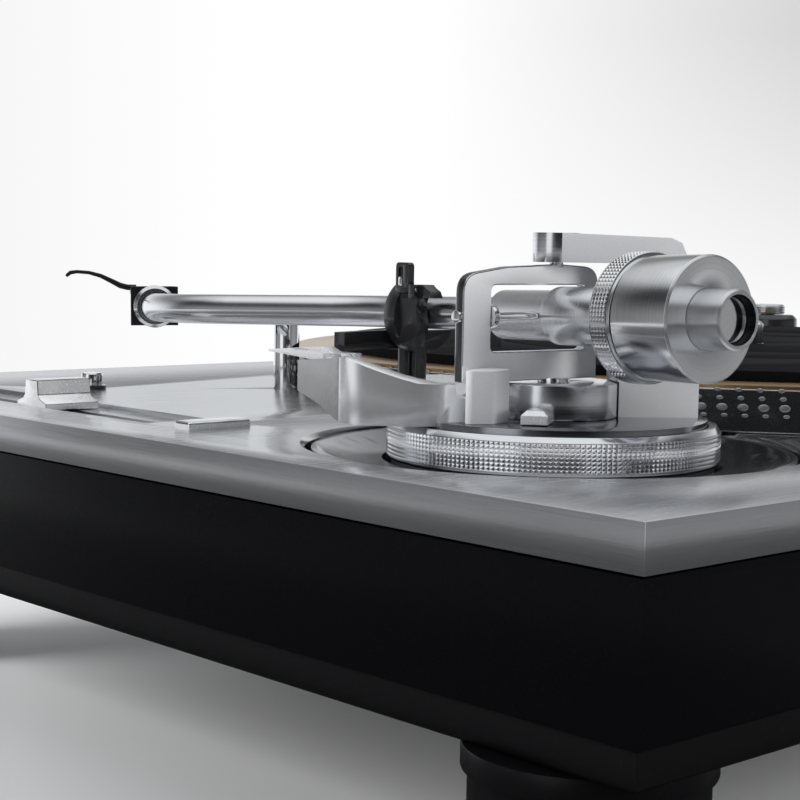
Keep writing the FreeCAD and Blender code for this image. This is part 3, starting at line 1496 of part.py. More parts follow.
def make_rear():
    """Jacks, ground post, mains inlet and the two dust cover hinge sockets."""
    niche_floor = rear_face - dims.niche_depth
    jacks = new_body("phono_jacks", dims.jack_x, niche_floor, dims.jack_height, rear_rotation())
    jacks.AllowCompound = True
    places = [(0, 0), (dims.jack_pitch, 0)]
    depth = dims.cabinet_wall + dims.rear_plate
    pad(jacks, circles=[(x, y, dims.jack_radius) for x, y in places],
        bottom=-depth, height=depth + dims.jack_length)
    pad(jacks, circles=[(x, y, dims.jack_flange_radius) for x, y in places],
        bottom=0, height=dims.rear_plate)
    pocket(jacks, circles=[(x, y, dims.jack_bore) for x, y in places],
           top=dims.jack_length, depth=dims.jack_length)
    post = new_body("ground_post", dims.ground_x, niche_floor, dims.jack_height, rear_rotation())
    pad(post, circles=[(0, 0, dims.ground_stem_radius)], bottom=-depth,
        height=depth + dims.ground_length)
    pad(post, circles=[(0, 0, dims.ground_radius)], bottom=dims.fit_gap,
        height=dims.ground_length - dims.fit_gap)
    inlet = new_body("mains_inlet", dims.inlet_x, rear_face, dims.jack_height, rear_rotation())
    gap = dims.run_gap * 2
    wall = dims.inlet_wall * 2
    pad(inlet, [box_points(dims.inlet_width - gap, dims.inlet_height - gap)],
        bottom=-dims.inlet_depth, height=dims.inlet_depth)
    pocket(inlet, [box_points(dims.inlet_width - gap - wall, dims.inlet_height - gap - wall)],
           depth=dims.inlet_depth - dims.inlet_wall)
    blades = [box_points(dims.blade_width, dims.blade_height, dims.blade_pitch * step,
                         -dims.blade_rise if step == 0 else dims.blade_rise)
              for step in (-1, 0, 1)]
    pad(inlet, blades, bottom=-(dims.inlet_depth - dims.inlet_wall / 2),
        height=dims.inlet_depth - dims.inlet_wall * 1.5 - dims.blade_setback)
    sockets = new_body("cover_hinge_sockets", 0, rear_face, hinge_middle(), rear_rotation())
    sockets.AllowCompound = True
    outer = [box_points(dims.hinge_width - gap, dims.hinge_height - gap,
                        dims.hinge_spread * side) for side in (-1, 1)]
    inner = [box_points(dims.hinge_width - gap - dims.hinge_wall * 2,
                        dims.hinge_height - gap - dims.hinge_wall * 2,
                        dims.hinge_spread * side) for side in (-1, 1)]
    pad(sockets, outer, bottom=-(dims.hinge_depth + dims.hinge_wall),
        height=dims.hinge_depth + dims.hinge_wall)
    pocket(sockets, inner, depth=dims.hinge_depth)


def hinge_middle():
    """The height of the hinge sockets' centre, as the cabinet's openings have it."""
    return (cabinet_top - dims.shadow_gap - dims.cabinet_wall - dims.hinge_height / 2)


def make_circuit_board():
    """The control board on its pillars, with transformer and capacitors."""
    body = new_body("circuit_board", dims.board_x, dims.board_y, cabinet_bottom)
    spread_x = dims.board_length / 2 - dims.boss_radius
    spread_y = dims.board_width / 2 - dims.boss_radius
    pillars = [(spread_x * side, spread_y * row, dims.board_pillar_radius)
               for side in (-1, 1) for row in (-1, 1)]
    pad(body, circles=pillars, height=dims.board_rise)
    pad(body, [box_points(dims.board_length, dims.board_width)], bottom=dims.board_rise - 0.1,
        height=dims.board_thickness + 0.1)
    top = dims.board_rise + dims.board_thickness
    pad(body, [box_points(dims.transformer_length, dims.transformer_width,
                          dims.board_length / 4, 0)], bottom=top - 0.1,
        height=dims.transformer_height)
    cans = [(-dims.board_length / 4, dims.can_radius * 3 * row, dims.can_radius)
            for row in (-1, 0, 1)]
    pad(body, circles=cans, bottom=top - 0.1, height=dims.can_height)


def main():
    """Builds every sub-part, checks it and writes it out."""
    make_top_panel()
    make_cabinet()
    make_lower_base()
    make_base_screws()
    for name, side, row in (("front_left", -1, -1), ("front_right", 1, -1),
                            ("rear_left", -1, 1), ("rear_right", 1, 1)):
        make_foot(name, side, row)
    make_platter()
    make_mat()
    make_motor()
    make_strobe_pillar()
    make_button("start_stop_button", dims.start_x, dims.start_y, dims.start_size,
                dims.start_size, dims.start_height)
    for step, name in enumerate(("speed_33_button", "speed_45_button")):
        make_button(name, dims.speed_x + dims.speed_pitch * step, dims.speed_y,
                    dims.speed_width, dims.speed_depth, dims.start_height)
    make_button("reset_button", dims.reset_x, dims.reset_y, dims.reset_width,
                dims.reset_depth, dims.reset_height)
    make_fader()
    make_stylus_light()
    make_adaptor()
    make_arm_mount()
    make_platform()
    make_anti_skate()
    make_lower_bearing()
    make_lock_lever()
    make_yoke()
    make_bearing_screws()
    make_bridge()
    make_cue_lever()
    make_lift_bar()
    make_arm_rest()
    make_rest_clamp()
    make_arm_tube()
    make_arm_core()
    make_counterweight()
    make_head()
    make_rear()
    make_circuit_board()
    doc.recompute()
    for obj in doc.Objects:
        if "Invalid" in obj.State or "Error" in obj.State:
            raise RuntimeError(f"{obj.Label} failed: {obj.State}")
    os.makedirs("parts", exist_ok=True)
    for obj in sub_parts:
        shape = obj.Shape
        if shape.isNull() or not shape.isValid() or not shape.Solids:
            raise RuntimeError(f"{obj.Label} has no valid shape")
        shape.exportStep(os.path.join("parts", f"{obj.Label}.step"))
    print(len(sub_parts), "sub-parts written")


main()
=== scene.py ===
"""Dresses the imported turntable: brushed deck, knurled rings, dotted platter rim and tonearm."""

import logging
import math
from dataclasses import dataclass, field
from enum import Enum
from typing import Any, Callable, Iterable, Optional, Sequence

import bmesh
import bpy
from mathutils import Matrix, Vector


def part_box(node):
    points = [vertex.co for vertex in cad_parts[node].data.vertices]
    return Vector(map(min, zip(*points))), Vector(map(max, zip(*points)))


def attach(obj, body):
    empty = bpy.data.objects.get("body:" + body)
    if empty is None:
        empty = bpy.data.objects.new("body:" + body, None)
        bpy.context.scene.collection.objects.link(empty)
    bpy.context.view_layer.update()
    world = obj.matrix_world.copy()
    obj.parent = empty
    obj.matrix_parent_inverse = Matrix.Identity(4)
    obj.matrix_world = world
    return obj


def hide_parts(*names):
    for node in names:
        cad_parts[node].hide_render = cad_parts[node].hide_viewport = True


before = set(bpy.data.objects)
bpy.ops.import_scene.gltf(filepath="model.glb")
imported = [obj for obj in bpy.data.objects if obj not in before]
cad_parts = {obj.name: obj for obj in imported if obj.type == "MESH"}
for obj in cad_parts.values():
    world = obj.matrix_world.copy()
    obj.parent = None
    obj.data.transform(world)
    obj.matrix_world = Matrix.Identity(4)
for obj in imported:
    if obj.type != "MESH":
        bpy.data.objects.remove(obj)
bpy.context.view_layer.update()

log = logging.getLogger("turntable")
MM = 0.001
UP = Vector((0.0, 0.0, 1.0))
DECK_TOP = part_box("top_panel")[1].z
PIVOT = Vector((150.0 * MM, 92.0 * MM, DECK_TOP))
ARM_HEADING = math.radians(265.0)
ARM_SLOPE = math.atan(0.025)
ARM_AXIS_RISE = 32.2 * MM
TUBE_BEND = Vector((75.0, 0.0, 0.0)) * MM
TUBE_MIDDLE = 78.0 * MM
TUBE_OUT = math.radians(22.0)
HEAD_TURN = math.radians(50.0)
QUARTER = math.radians(90.0)
CREASE = 32.0
SQUARENESS = 0.45
LATHE_PITCH = 2600.0
DIAL_STEM = 3.0 * MM
JOIN_GAP = 1e-7
CAD_JOIN_GAP = 2e-6
FLAT_WITHIN = math.radians(0.6)

Profile = Sequence[tuple[float, float]]


# Frames

def upright(x: float, y: float, z: float, heading: float = 0.0) -> Matrix:
    """A frame that stands at x, y, z with its X axis at a heading in radians."""
    return Matrix.Translation((x, y, z)) @ Matrix.Rotation(heading, 4, "Z")


def arm_frame() -> Matrix:
    """The tonearm's own frame: X forward along the tube, Y outwards, on the tilt axis."""
    place = upright(PIVOT.x, PIVOT.y, PIVOT.z + ARM_AXIS_RISE, ARM_HEADING)
    return place @ Matrix.Rotation(ARM_SLOPE, 4, "Y")


def head_frame() -> Matrix:
    """The frame of the tube's last run, with X forward along it."""
    corner = TUBE_BEND + Vector((math.cos(TUBE_OUT), math.sin(TUBE_OUT), 0.0)) * TUBE_MIDDLE
    return arm_frame() @ Matrix.Translation(corner) @ Matrix.Rotation(TUBE_OUT - HEAD_TURN, 4, "Z")


def along_x(place: Matrix) -> Matrix:
    """The same frame turned so that its Z axis runs along the old X axis."""
    return place @ Matrix.Rotation(QUARTER, 4, "Y")


def across_x(place: Matrix) -> Matrix:
    """The same frame with X on the old Y axis, Y on the old Z axis and Z on the old X axis."""
    turned = Matrix(((0.0, 0.0, 1.0, 0.0), (1.0, 0.0, 0.0, 0.0),
                     (0.0, 1.0, 0.0, 0.0), (0.0, 0.0, 0.0, 1.0)))
    return place @ turned


# Shader graphs and the effects that the materials share

class Graph:
    """Adds nodes to a node tree and links them as they are made."""

    def __init__(self, tree: bpy.types.NodeTree) -> None:
        """Keeps the tree.

        Args:
            tree: the material's, world's or group's node tree.
        """
        self.tree = tree

    def add(self, kind: str, values: Optional[dict[Any, Any]] = None,
            **settings: Any) -> bpy.types.Node:
        """Adds one node.

        Args:
            kind: the node's type name.
            values: input name or number to a plain value or to the socket that feeds it.
            settings: plain attributes of the node.

        Returns:
            The new node.
        """
        node = self.tree.nodes.new(kind)
        for name, value in settings.items():
            setattr(node, name, value)
        for name, value in (values or {}).items():
            self.feed(node, name, value)
        return node

    def feed(self, node: bpy.types.Node, name: Any, value: Any) -> None:
        """Links a socket to a node's input, or sets a plain value on it."""
        if isinstance(value, bpy.types.NodeSocket):
            self.tree.links.new(value, node.inputs[name])
        else:
            node.inputs[name].default_value = value

    def noise(self, place: Any, scale: Any, detail: float) -> bpy.types.NodeSocket:
        """Adds a Noise Texture node and returns its grey."""
        node = self.add("ShaderNodeTexNoise", {"Vector": place, "Scale": scale, "Detail": detail})
        return node.outputs[0]

    def group(self, tree: bpy.types.NodeTree, values: dict[str, Any]) -> bpy.types.Node:
        """Adds a shared effect with its settings."""
        node = self.add("ShaderNodeGroup", node_tree=tree)
        for name, value in values.items():
            self.feed(node, name, value)
        return node

    def maths(self, operation: str, *values: Any) -> bpy.types.NodeSocket:
        """Adds a Math node and returns its result."""
        return self.add("ShaderNodeMath", dict(enumerate(values)), operation=operation).outputs[0]

    def vector(self, operation: str, *values: Any) -> bpy.types.Node:
        """Adds a Vector Math node and returns it."""
        return self.add("ShaderNodeVectorMath", dict(enumerate(values)), operation=operation)

    def spread(self, value: Any, low: float, high: float,
               start: float = 0.0, end: float = 1.0) -> bpy.types.NodeSocket:
        """Maps a value from start..end to low..high, clamped."""
        node = self.add("ShaderNodeMapRange", {
            "Value": value, "From Min": start, "From Max": end, "To Min": low, "To Max": high})
        return node.outputs["Result"]

    def blend(self, share: Any, first: Any, second: Any) -> bpy.types.NodeSocket:
        """Mixes two colours by a share and returns the result."""
        node = self.add("ShaderNodeMix", data_type="RGBA")
        for index, value in ((0, share), (6, first), (7, second)):
            self.feed(node, index, value)
        return node.outputs[2]


def new_effect(name: str, inputs: dict[str, tuple[str, Any]],
               outputs: Iterable[str]) -> tuple[bpy.types.NodeTree, Graph, Any, Any]:
    """Starts a shader node group with named inputs and value outputs.

    Args:
        name: the group's name.
        inputs: input name to its socket type and its first value.
        outputs: names of the value outputs.

    Returns:
        The group, a graph on it, and its input and output nodes.
    """
    group = bpy.data.node_groups.new(name, "ShaderNodeTree")
    for label, (kind, value) in inputs.items():
        socket = group.interface.new_socket(label, in_out="INPUT", socket_type=kind)
        socket.default_value = value
    for label in outputs:
        group.interface.new_socket(label, in_out="OUTPUT", socket_type="NodeSocketFloat")
    graph = Graph(group)
    return group, graph, graph.add("NodeGroupInput"), graph.add("NodeGroupOutput")


def place_coordinates(graph: Graph) -> bpy.types.NodeSocket:
    """The surface's own place in metres, fixed to its piece."""
    return graph.add("ShaderNodeTexCoord").outputs["Object"]


def brushed_effect() -> bpy.types.NodeTree:
    """Straight hairlines: long along one direction and fine across it."""
    group, graph, given, result = new_effect(
        "brushed_hairlines", {"Stretch": ("NodeSocketVector", (30.0, 2400.0, 2400.0))},
        ("Grain", "Mottle"))
    place = place_coordinates(graph)
    fine = graph.vector("MULTIPLY", place, given.outputs["Stretch"]).outputs[0]
    lines = graph.noise(fine, 1.0, 3.0)
    wide = graph.vector("SCALE", fine)
    wide.inputs["Scale"].default_value = 0.14
    bands = graph.noise(wide.outputs[0], 1.0, 2.0)
    grain = graph.maths("ADD", graph.maths("MULTIPLY", lines, 0.65),
                        graph.maths("MULTIPLY", bands, 0.35))
    graph.feed(result, "Grain", graph.spread(grain, 0.0, 1.0, 0.3, 0.7))
    graph.feed(result, "Mottle", graph.noise(place, 22.0, 4.0))
    return group


def turned_effect() -> bpy.types.NodeTree:
    """Lathe lines: rings round an axis that change only along it and away from it."""
    group, graph, given, result = new_effect(
        "lathe_lines", {
            "Centre": ("NodeSocketVector", (0.0, 0.0, 0.0)),
            "Axis": ("NodeSocketVector", (0.0, 0.0, 1.0)),
            "Pitch": ("NodeSocketFloat", LATHE_PITCH)},
        ("Grain", "Mottle"))
    place = place_coordinates(graph)
    arm = graph.vector("SUBTRACT", place, given.outputs["Centre"]).outputs[0]
    axial = graph.vector("DOT_PRODUCT", arm, given.outputs["Axis"]).outputs["Value"]
    cross = graph.vector("CROSS_PRODUCT", arm, given.outputs["Axis"]).outputs[0]
    radial = graph.vector("LENGTH", cross).outputs["Value"]
    ring = graph.add("ShaderNodeCombineXYZ", {
        "X": graph.maths("MULTIPLY", axial, given.outputs["Pitch"]),
        "Y": graph.maths("MULTIPLY", radial, given.outputs["Pitch"])})
    lines = graph.noise(ring.outputs[0], 1.0, 2.0)
    graph.feed(result, "Grain", graph.spread(lines, 0.0, 1.0, 0.25, 0.75))
    graph.feed(result, "Mottle", graph.noise(place, 60.0, 3.0))
    return group


def powder_effect() -> bpy.types.NodeTree:
    """A fine even grain, as blasted metal, paint or moulded plastic has."""
    group, graph, given, result = new_effect(
        "fine_powder", {"Size": ("NodeSocketFloat", 1800.0)}, ("Grain", "Mottle"))
    place = place_coordinates(graph)
    fine = graph.noise(place, given.outputs["Size"], 2.0)
    graph.feed(result, "Grain", graph.spread(fine, 0.0, 1.0, 0.3, 0.7))
    graph.feed(result, "Mottle", graph.noise(place, 35.0, 4.0))
    return group


def dust_effect() -> bpy.types.NodeTree:
    """Sparse pale specks, more of them on faces that look up."""
    group, graph, given, result = new_effect(
        "dust_specks", {"Amount": ("NodeSocketFloat", 0.3)}, ("Dust",))
    place = place_coordinates(graph)
    normal = graph.add("ShaderNodeNewGeometry").outputs["Normal"]
    facing = graph.vector("DOT_PRODUCT", normal, (0.0, 0.0, 1.0)).outputs["Value"]
    sparse = graph.spread(graph.noise(place, 900.0, 1.0), 0.0, 1.0, 0.66, 0.78)
    share = graph.maths("MULTIPLY", graph.spread(facing, 0.25, 1.0), given.outputs["Amount"])
    graph.feed(result, "Dust", graph.maths("MULTIPLY", sparse, share))
    return group


class Surface(Enum):
    """The ways in which a finish is worked."""

    BRUSHED = "brushed_hairlines"
    TURNED = "lathe_lines"
    POWDER = "fine_powder"


class Effects:
    """Holds each shared node group, built once."""

    def __init__(self) -> None:
        """Builds the groups."""
        self.groups = {
            Surface.BRUSHED: brushed_effect(),
            Surface.TURNED: turned_effect(),
            Surface.POWDER: powder_effect(),
        }
        self.dust = dust_effect()


@dataclass(frozen=True)
class Finish:
    """How one surface looks: its colour, its gloss and how it was worked."""

    name: str
    colour: tuple[float, float, float]
    roughness: float
    metallic: float = 1.0
    surface: Surface = Surface.POWDER
    worked: dict[str, Any] = field(default_factory=dict)
    shade: float = 0.06
    gloss_change: float = 0.06
    depth: float = 0.0
    anisotropy: float = 0.0
    coat: float = 0.0
    shine: float = 0.5
    dust: float = 0.0

    def build(self, effects: Effects) -> bpy.types.Material:
        """Makes the material.

        Args:
            effects: the shared node groups.

        Returns:
            A node material with this finish.
        """
        material = bpy.data.materials.new(self.name)
        material.use_nodes = True
        material.diffuse_color = (*self.colour, 1.0)
        tree = material.node_tree
        tree.nodes.clear()
        graph = Graph(tree)
        worked = graph.group(effects.groups[self.surface], self.worked)
        grain = worked.outputs["Grain"]
        mottle = worked.outputs["Mottle"]
        dark = tuple(part * (1.0 - self.shade) for part in self.colour)
        light = tuple(min(1.0, part * (1.0 + self.shade)) for part in self.colour)
        mixed = graph.maths("ADD", graph.maths("MULTIPLY", grain, 0.6),
                            graph.maths("MULTIPLY", mottle, 0.4))
        colour = graph.blend(mixed, (*dark, 1.0), (*light, 1.0))
        rough = graph.spread(mixed, self.roughness - self.gloss_change,
                             self.roughness + self.gloss_change)
        if self.dust:
            dust = graph.group(effects.dust, {"Amount": self.dust})
            colour = graph.blend(dust.outputs["Dust"], colour, (0.45, 0.45, 0.46, 1.0))
        shader = graph.add("ShaderNodeBsdfPrincipled", {
            "Base Color": colour, "Roughness": rough, "Metallic": self.metallic,
            "Anisotropic": self.anisotropy, "Coat Weight": self.coat, "Coat Roughness": 0.08,
            "Specular IOR Level": self.shine})
        if self.anisotropy:
            graph.feed(shader, "Tangent", self.tangent(graph))
        if self.depth:
            bump = graph.add("ShaderNodeBump", {
                "Height": grain, "Strength": 0.5, "Distance": self.depth})
            graph.feed(shader, "Normal", bump.outputs["Normal"])
        graph.add("ShaderNodeOutputMaterial", {"Surface": shader.outputs[0]})
        return material

    def tangent(self, graph: Graph) -> bpy.types.NodeSocket:
        """The way in which the finish spreads what it mirrors: across lathe lines, or along X."""
        if self.surface is not Surface.TURNED:
            return graph.add("ShaderNodeCombineXYZ", {"X": 1.0}).outputs[0]
        arm = graph.vector("SUBTRACT", place_coordinates(graph), self.worked["Centre"])
        lines = graph.vector("CROSS_PRODUCT", self.worked["Axis"], arm.outputs[0]).outputs[0]
        normal = graph.add("ShaderNodeNewGeometry").outputs["Normal"]
        return graph.vector("CROSS_PRODUCT", normal, lines).outputs[0]


def turned_round(centre: Vector, axis: Vector, pitch: float = LATHE_PITCH) -> dict[str, Any]:
    """Where the lathe lines of a finish run."""
    return {"Centre": tuple(centre), "Axis": tuple(axis), "Pitch": pitch}


def turned(name: str, colour: tuple[float, float, float], roughness: float,
           worked: dict[str, Any], **more: Any) -> Finish:
    """A finish with lathe lines."""
    return Finish(name, colour, roughness, surface=Surface.TURNED, worked=worked, **more)


def grained(name: str, colour: tuple[float, float, float], roughness: float,
            size: float, **more: Any) -> Finish:
    """A finish with a powdery grain of its own size."""
    return Finish(name, colour, roughness, worked={"Size": size}, **more)


class Finishes:
    """Every finish of the turntable, built as materials on first use."""

    def __init__(self) -> None:
        """Names the finishes."""
        arm = arm_frame()
        head = head_frame()
        arm_axis = arm.to_3x3() @ Vector((1.0, 0.0, 0.0))
        head_axis = head.to_3x3() @ Vector((1.0, 0.0, 0.0))
        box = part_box("platter")
        spindle = (box[0] + box[1]) / 2
        round_arm = turned_round(arm.translation, arm_axis)
        round_weight = turned_round(arm.translation, arm_axis, 2200.0)
        round_head = turned_round(head.translation, head_axis)
        round_pivot = turned_round(PIVOT, UP)
        round_spindle = turned_round(spindle, UP, 1500.0)
        round_coils = turned_round(spindle, UP, 3000.0)
        round_mat = turned_round(spindle, UP, 900.0)
        long_lines = {"Stretch": (26.0, 2600.0, 2600.0)}
        side_lines = {"Stretch": (60.0, 60.0, 2600.0)}
        self.effects = Effects()
        self.made: dict[str, bpy.types.Material] = {}
        listed = [
            Finish("deck_hairline", (0.84, 0.85, 0.87), 0.26, surface=Surface.BRUSHED,
                   worked=long_lines, gloss_change=0.04, depth=0.00001, anisotropy=0.4),
            # The slab's upright faces: its brushed aluminium painted darker as shade, with
            # hairlines of their own direction.
            Finish("deck_side_shaded", (0.66, 0.67, 0.69), 0.24, surface=Surface.BRUSHED,
                   worked=side_lines, shade=0.12, gloss_change=0.05, depth=0.00001, dust=0.15),
            Finish("bright_edge", (0.88, 0.885, 0.90), 0.14),
            grained("cabinet_black", (0.002, 0.002, 0.0025), 0.3, 1500.0, metallic=0.0,
                    gloss_change=0.05, depth=0.00001, dust=0.01, shine=0.1),
            grained("base_rubber", (0.004, 0.004, 0.0045), 0.45, 700.0, metallic=0.0,
                    depth=0.00003, dust=0.02, shine=0.15),
            grained("foot_shell", (0.003, 0.003, 0.0035), 0.34, 1100.0, metallic=0.0,
                    depth=0.00002, dust=0.02, shine=0.2),
            grained("foot_sole", (0.03, 0.03, 0.03), 0.7, 600.0, metallic=0.0, depth=0.00004),
            Finish("zinc_screw", (0.62, 0.63, 0.65), 0.3),
            turned("platter_turned", (0.80, 0.81, 0.83), 0.2, round_spindle, shade=0.1,
                   depth=0.00001, anisotropy=0.5),
            Finish("platter_rim_black", (0.01, 0.01, 0.011), 0.28, metallic=0.0, coat=0.3),
            Finish("rim_dot", (0.34, 0.35, 0.36), 0.3, metallic=0.8),
            turned("brass_hairline", (0.62, 0.42, 0.21), 0.3, round_spindle, shade=0.14,
                   depth=0.00001, anisotropy=0.6),
            turned("mat_rubber", (0.004, 0.004, 0.0045), 0.75, round_mat, metallic=0.0,
                   shine=0.04, shade=0.3, depth=0.00012, dust=0.03),
            Finish("damper_rubber", (0.03, 0.03, 0.03), 0.7, metallic=0.0, depth=0.00004),
            Finish("ferrite", (0.08, 0.08, 0.085), 0.5, metallic=0.3),
            turned("copper_wire", (0.72, 0.38, 0.2), 0.35, round_coils, shade=0.2, depth=0.0001),
            grained("die_cast", (0.56, 0.57, 0.59), 0.42, 900.0, depth=0.00004),
            Finish("polished_steel", (0.86, 0.865, 0.875), 0.09, gloss_change=0.02),
            Finish("chrome", (0.90, 0.905, 0.915), 0.05, gloss_change=0.015),
            Finish("pillar_gloss", (0.012, 0.012, 0.013), 0.16, metallic=0.0, coat=0.5),
            grained("button_satin", (0.74, 0.75, 0.77), 0.26, 2200.0, depth=0.00001),
            Finish("key_satin", (0.80, 0.81, 0.82), 0.24, metallic=0.5),
            Finish("knurl_bright", (0.93, 0.935, 0.95), 0.12, gloss_change=0.03),
            turned("ring_turned", (0.84, 0.85, 0.865), 0.15, round_pivot, shade=0.07,
                   anisotropy=0.5),
            turned("dish_dark", (0.42, 0.43, 0.46), 0.2, round_pivot, shade=0.1, anisotropy=0.5),
            grained("platform_blasted", (0.74, 0.75, 0.77), 0.3, 1600.0, metallic=0.5,
                    depth=0.000004, gloss_change=0.05),
            grained("casting_satin", (0.82, 0.83, 0.85), 0.24, 2200.0, metallic=0.8,
                    gloss_change=0.05),
            # The casting's facet that looks right and to the front: rough and ground, and also
            # painted dark as shade.
            grained("casting_ground_shaded", (0.24, 0.245, 0.25), 0.4, 700.0, metallic=0.6, shade=0.3,
                    depth=0.00005),
            # The turned disc low under the gimbal, painted dark as shade.
            turned("disc_turned_shaded", (0.30, 0.31, 0.34), 0.16, round_pivot, shade=0.12,
                   anisotropy=0.5),
            grained("yoke_powder", (0.76, 0.77, 0.78), 0.38, 2600.0, metallic=0.1, shade=0.04,
                    depth=0.000004),
            grained("lever_satin", (0.72, 0.73, 0.75), 0.24, 1600.0, metallic=0.7),
            # The yoke's outer sides: painted shade, a near-black copy of its metal.
            Finish("yoke_side_shaded", (0.10, 0.10, 0.11), 0.2, metallic=0.9),
            grained("bridge_satin", (0.60, 0.61, 0.62), 0.34, 2200.0, metallic=0.15, shade=0.05,
                    depth=0.000006),
            turned("drum_turned", (0.84, 0.85, 0.87), 0.2, round_pivot, shade=0.12,
                   depth=0.00001),
            grained("tube_satin", (0.88, 0.89, 0.91), 0.18, 3000.0, gloss_change=0.03,
                    depth=0.000004),
            turned("housing_turned", (0.82, 0.83, 0.85), 0.24, round_arm, shade=0.08,
                   depth=0.000004, anisotropy=0.3),
            turned("arm_turned", (0.84, 0.85, 0.865), 0.14, round_arm, shade=0.08,
                   anisotropy=0.4),
            turned("weight_turned", (0.90, 0.91, 0.93), 0.15, round_weight, shade=0.1,
                   gloss_change=0.04, depth=0.000004, anisotropy=0.35),
            turned("face_turned", (0.88, 0.89, 0.91), 0.33, round_arm, shade=0.04,
                   gloss_change=0.02, anisotropy=0.93),
            turned("collar_turned", (0.80, 0.81, 0.83), 0.14, round_head, shade=0.12,
                   depth=0.00002),
            grained("shell_black", (0.018, 0.018, 0.02), 0.3, 2600.0, metallic=0.6,
                    depth=0.00001),
            Finish("rest_black", (0.012, 0.012, 0.013), 0.24, metallic=0.0, coat=0.35,
                   shade=0.02, gloss_change=0.02),
            Finish("gold_plate", (0.86, 0.66, 0.32), 0.16),
            grained("socket_black", (0.02, 0.02, 0.021), 0.5, 900.0, metallic=0.0,
                    depth=0.00003),
            Finish("board_green", (0.03, 0.14, 0.07), 0.4, metallic=0.0, coat=0.2),
        ]
        self.listed = {finish.name: finish for finish in listed}

    def get(self, name: str) -> bpy.types.Material:
        """The material of a finish, made when it is first asked for."""
        if name not in self.made:
            self.made[name] = self.listed[name].build(self.effects)
        return self.made[name]


# Shapes

def ray_end(outline: Profile, centre: Vector, angle: float) -> tuple[float, float]:
    """Where a ray from a centre inside a closed outline leaves it."""
    ray = Vector((math.cos(angle), math.sin(angle)))
    best = 0.0
    for index, start in enumerate(outline):
        side = Vector(outline[(index + 1) % len(outline)]) - Vector(start)
        to_start = Vector(start) - centre
        cross = ray.x * side.y - ray.y * side.x
        if abs(cross) < 1e-12:
            continue
        reach = (to_start.x * side.y - to_start.y * side.x) / cross
        share = (to_start.x * ray.y - to_start.y * ray.x) / cross
        if -1e-6 <= share <= 1.0 + 1e-6:
            best = max(best, reach)
    return tuple(centre + ray * best)


def rounded(outline: Profile, radius: float, steps: int = 3,
            sharp: Iterable[int] = ()) -> list[tuple[float, float]]:
    """Rounds the corners of a closed outline.

    Args:
        outline: its corners in order.
        radius: the largest rounding; short sides get less.
        steps: facets in each rounded corner.
        sharp: numbers of the corners that stay sharp.

    Returns:
        The new outline.
    """
    keep = set(sharp)
    count = len(outline)
    result: list[tuple[float, float]] = []
    for index, here in enumerate(outline):
        corner = Vector(here)
        before = Vector(outline[index - 1]) - corner
        after = Vector(outline[(index + 1) % count]) - corner
        if index in keep or before.length < 1e-7 or after.length < 1e-7:
            result.append(here)
            continue
        half = before.angle(after) / 2
        reach = min(radius / max(math.tan(half), 1e-3), before.length * 0.45, after.length * 0.45)
        start = corner + before.normalized() * reach
        end = corner + after.normalized() * reach
        for step in range(steps + 1):
            share = step / steps
            first = start.lerp(corner, share)
            second = corner.lerp(end, share)
            result.append(tuple(first.lerp(second, share)))
    return result


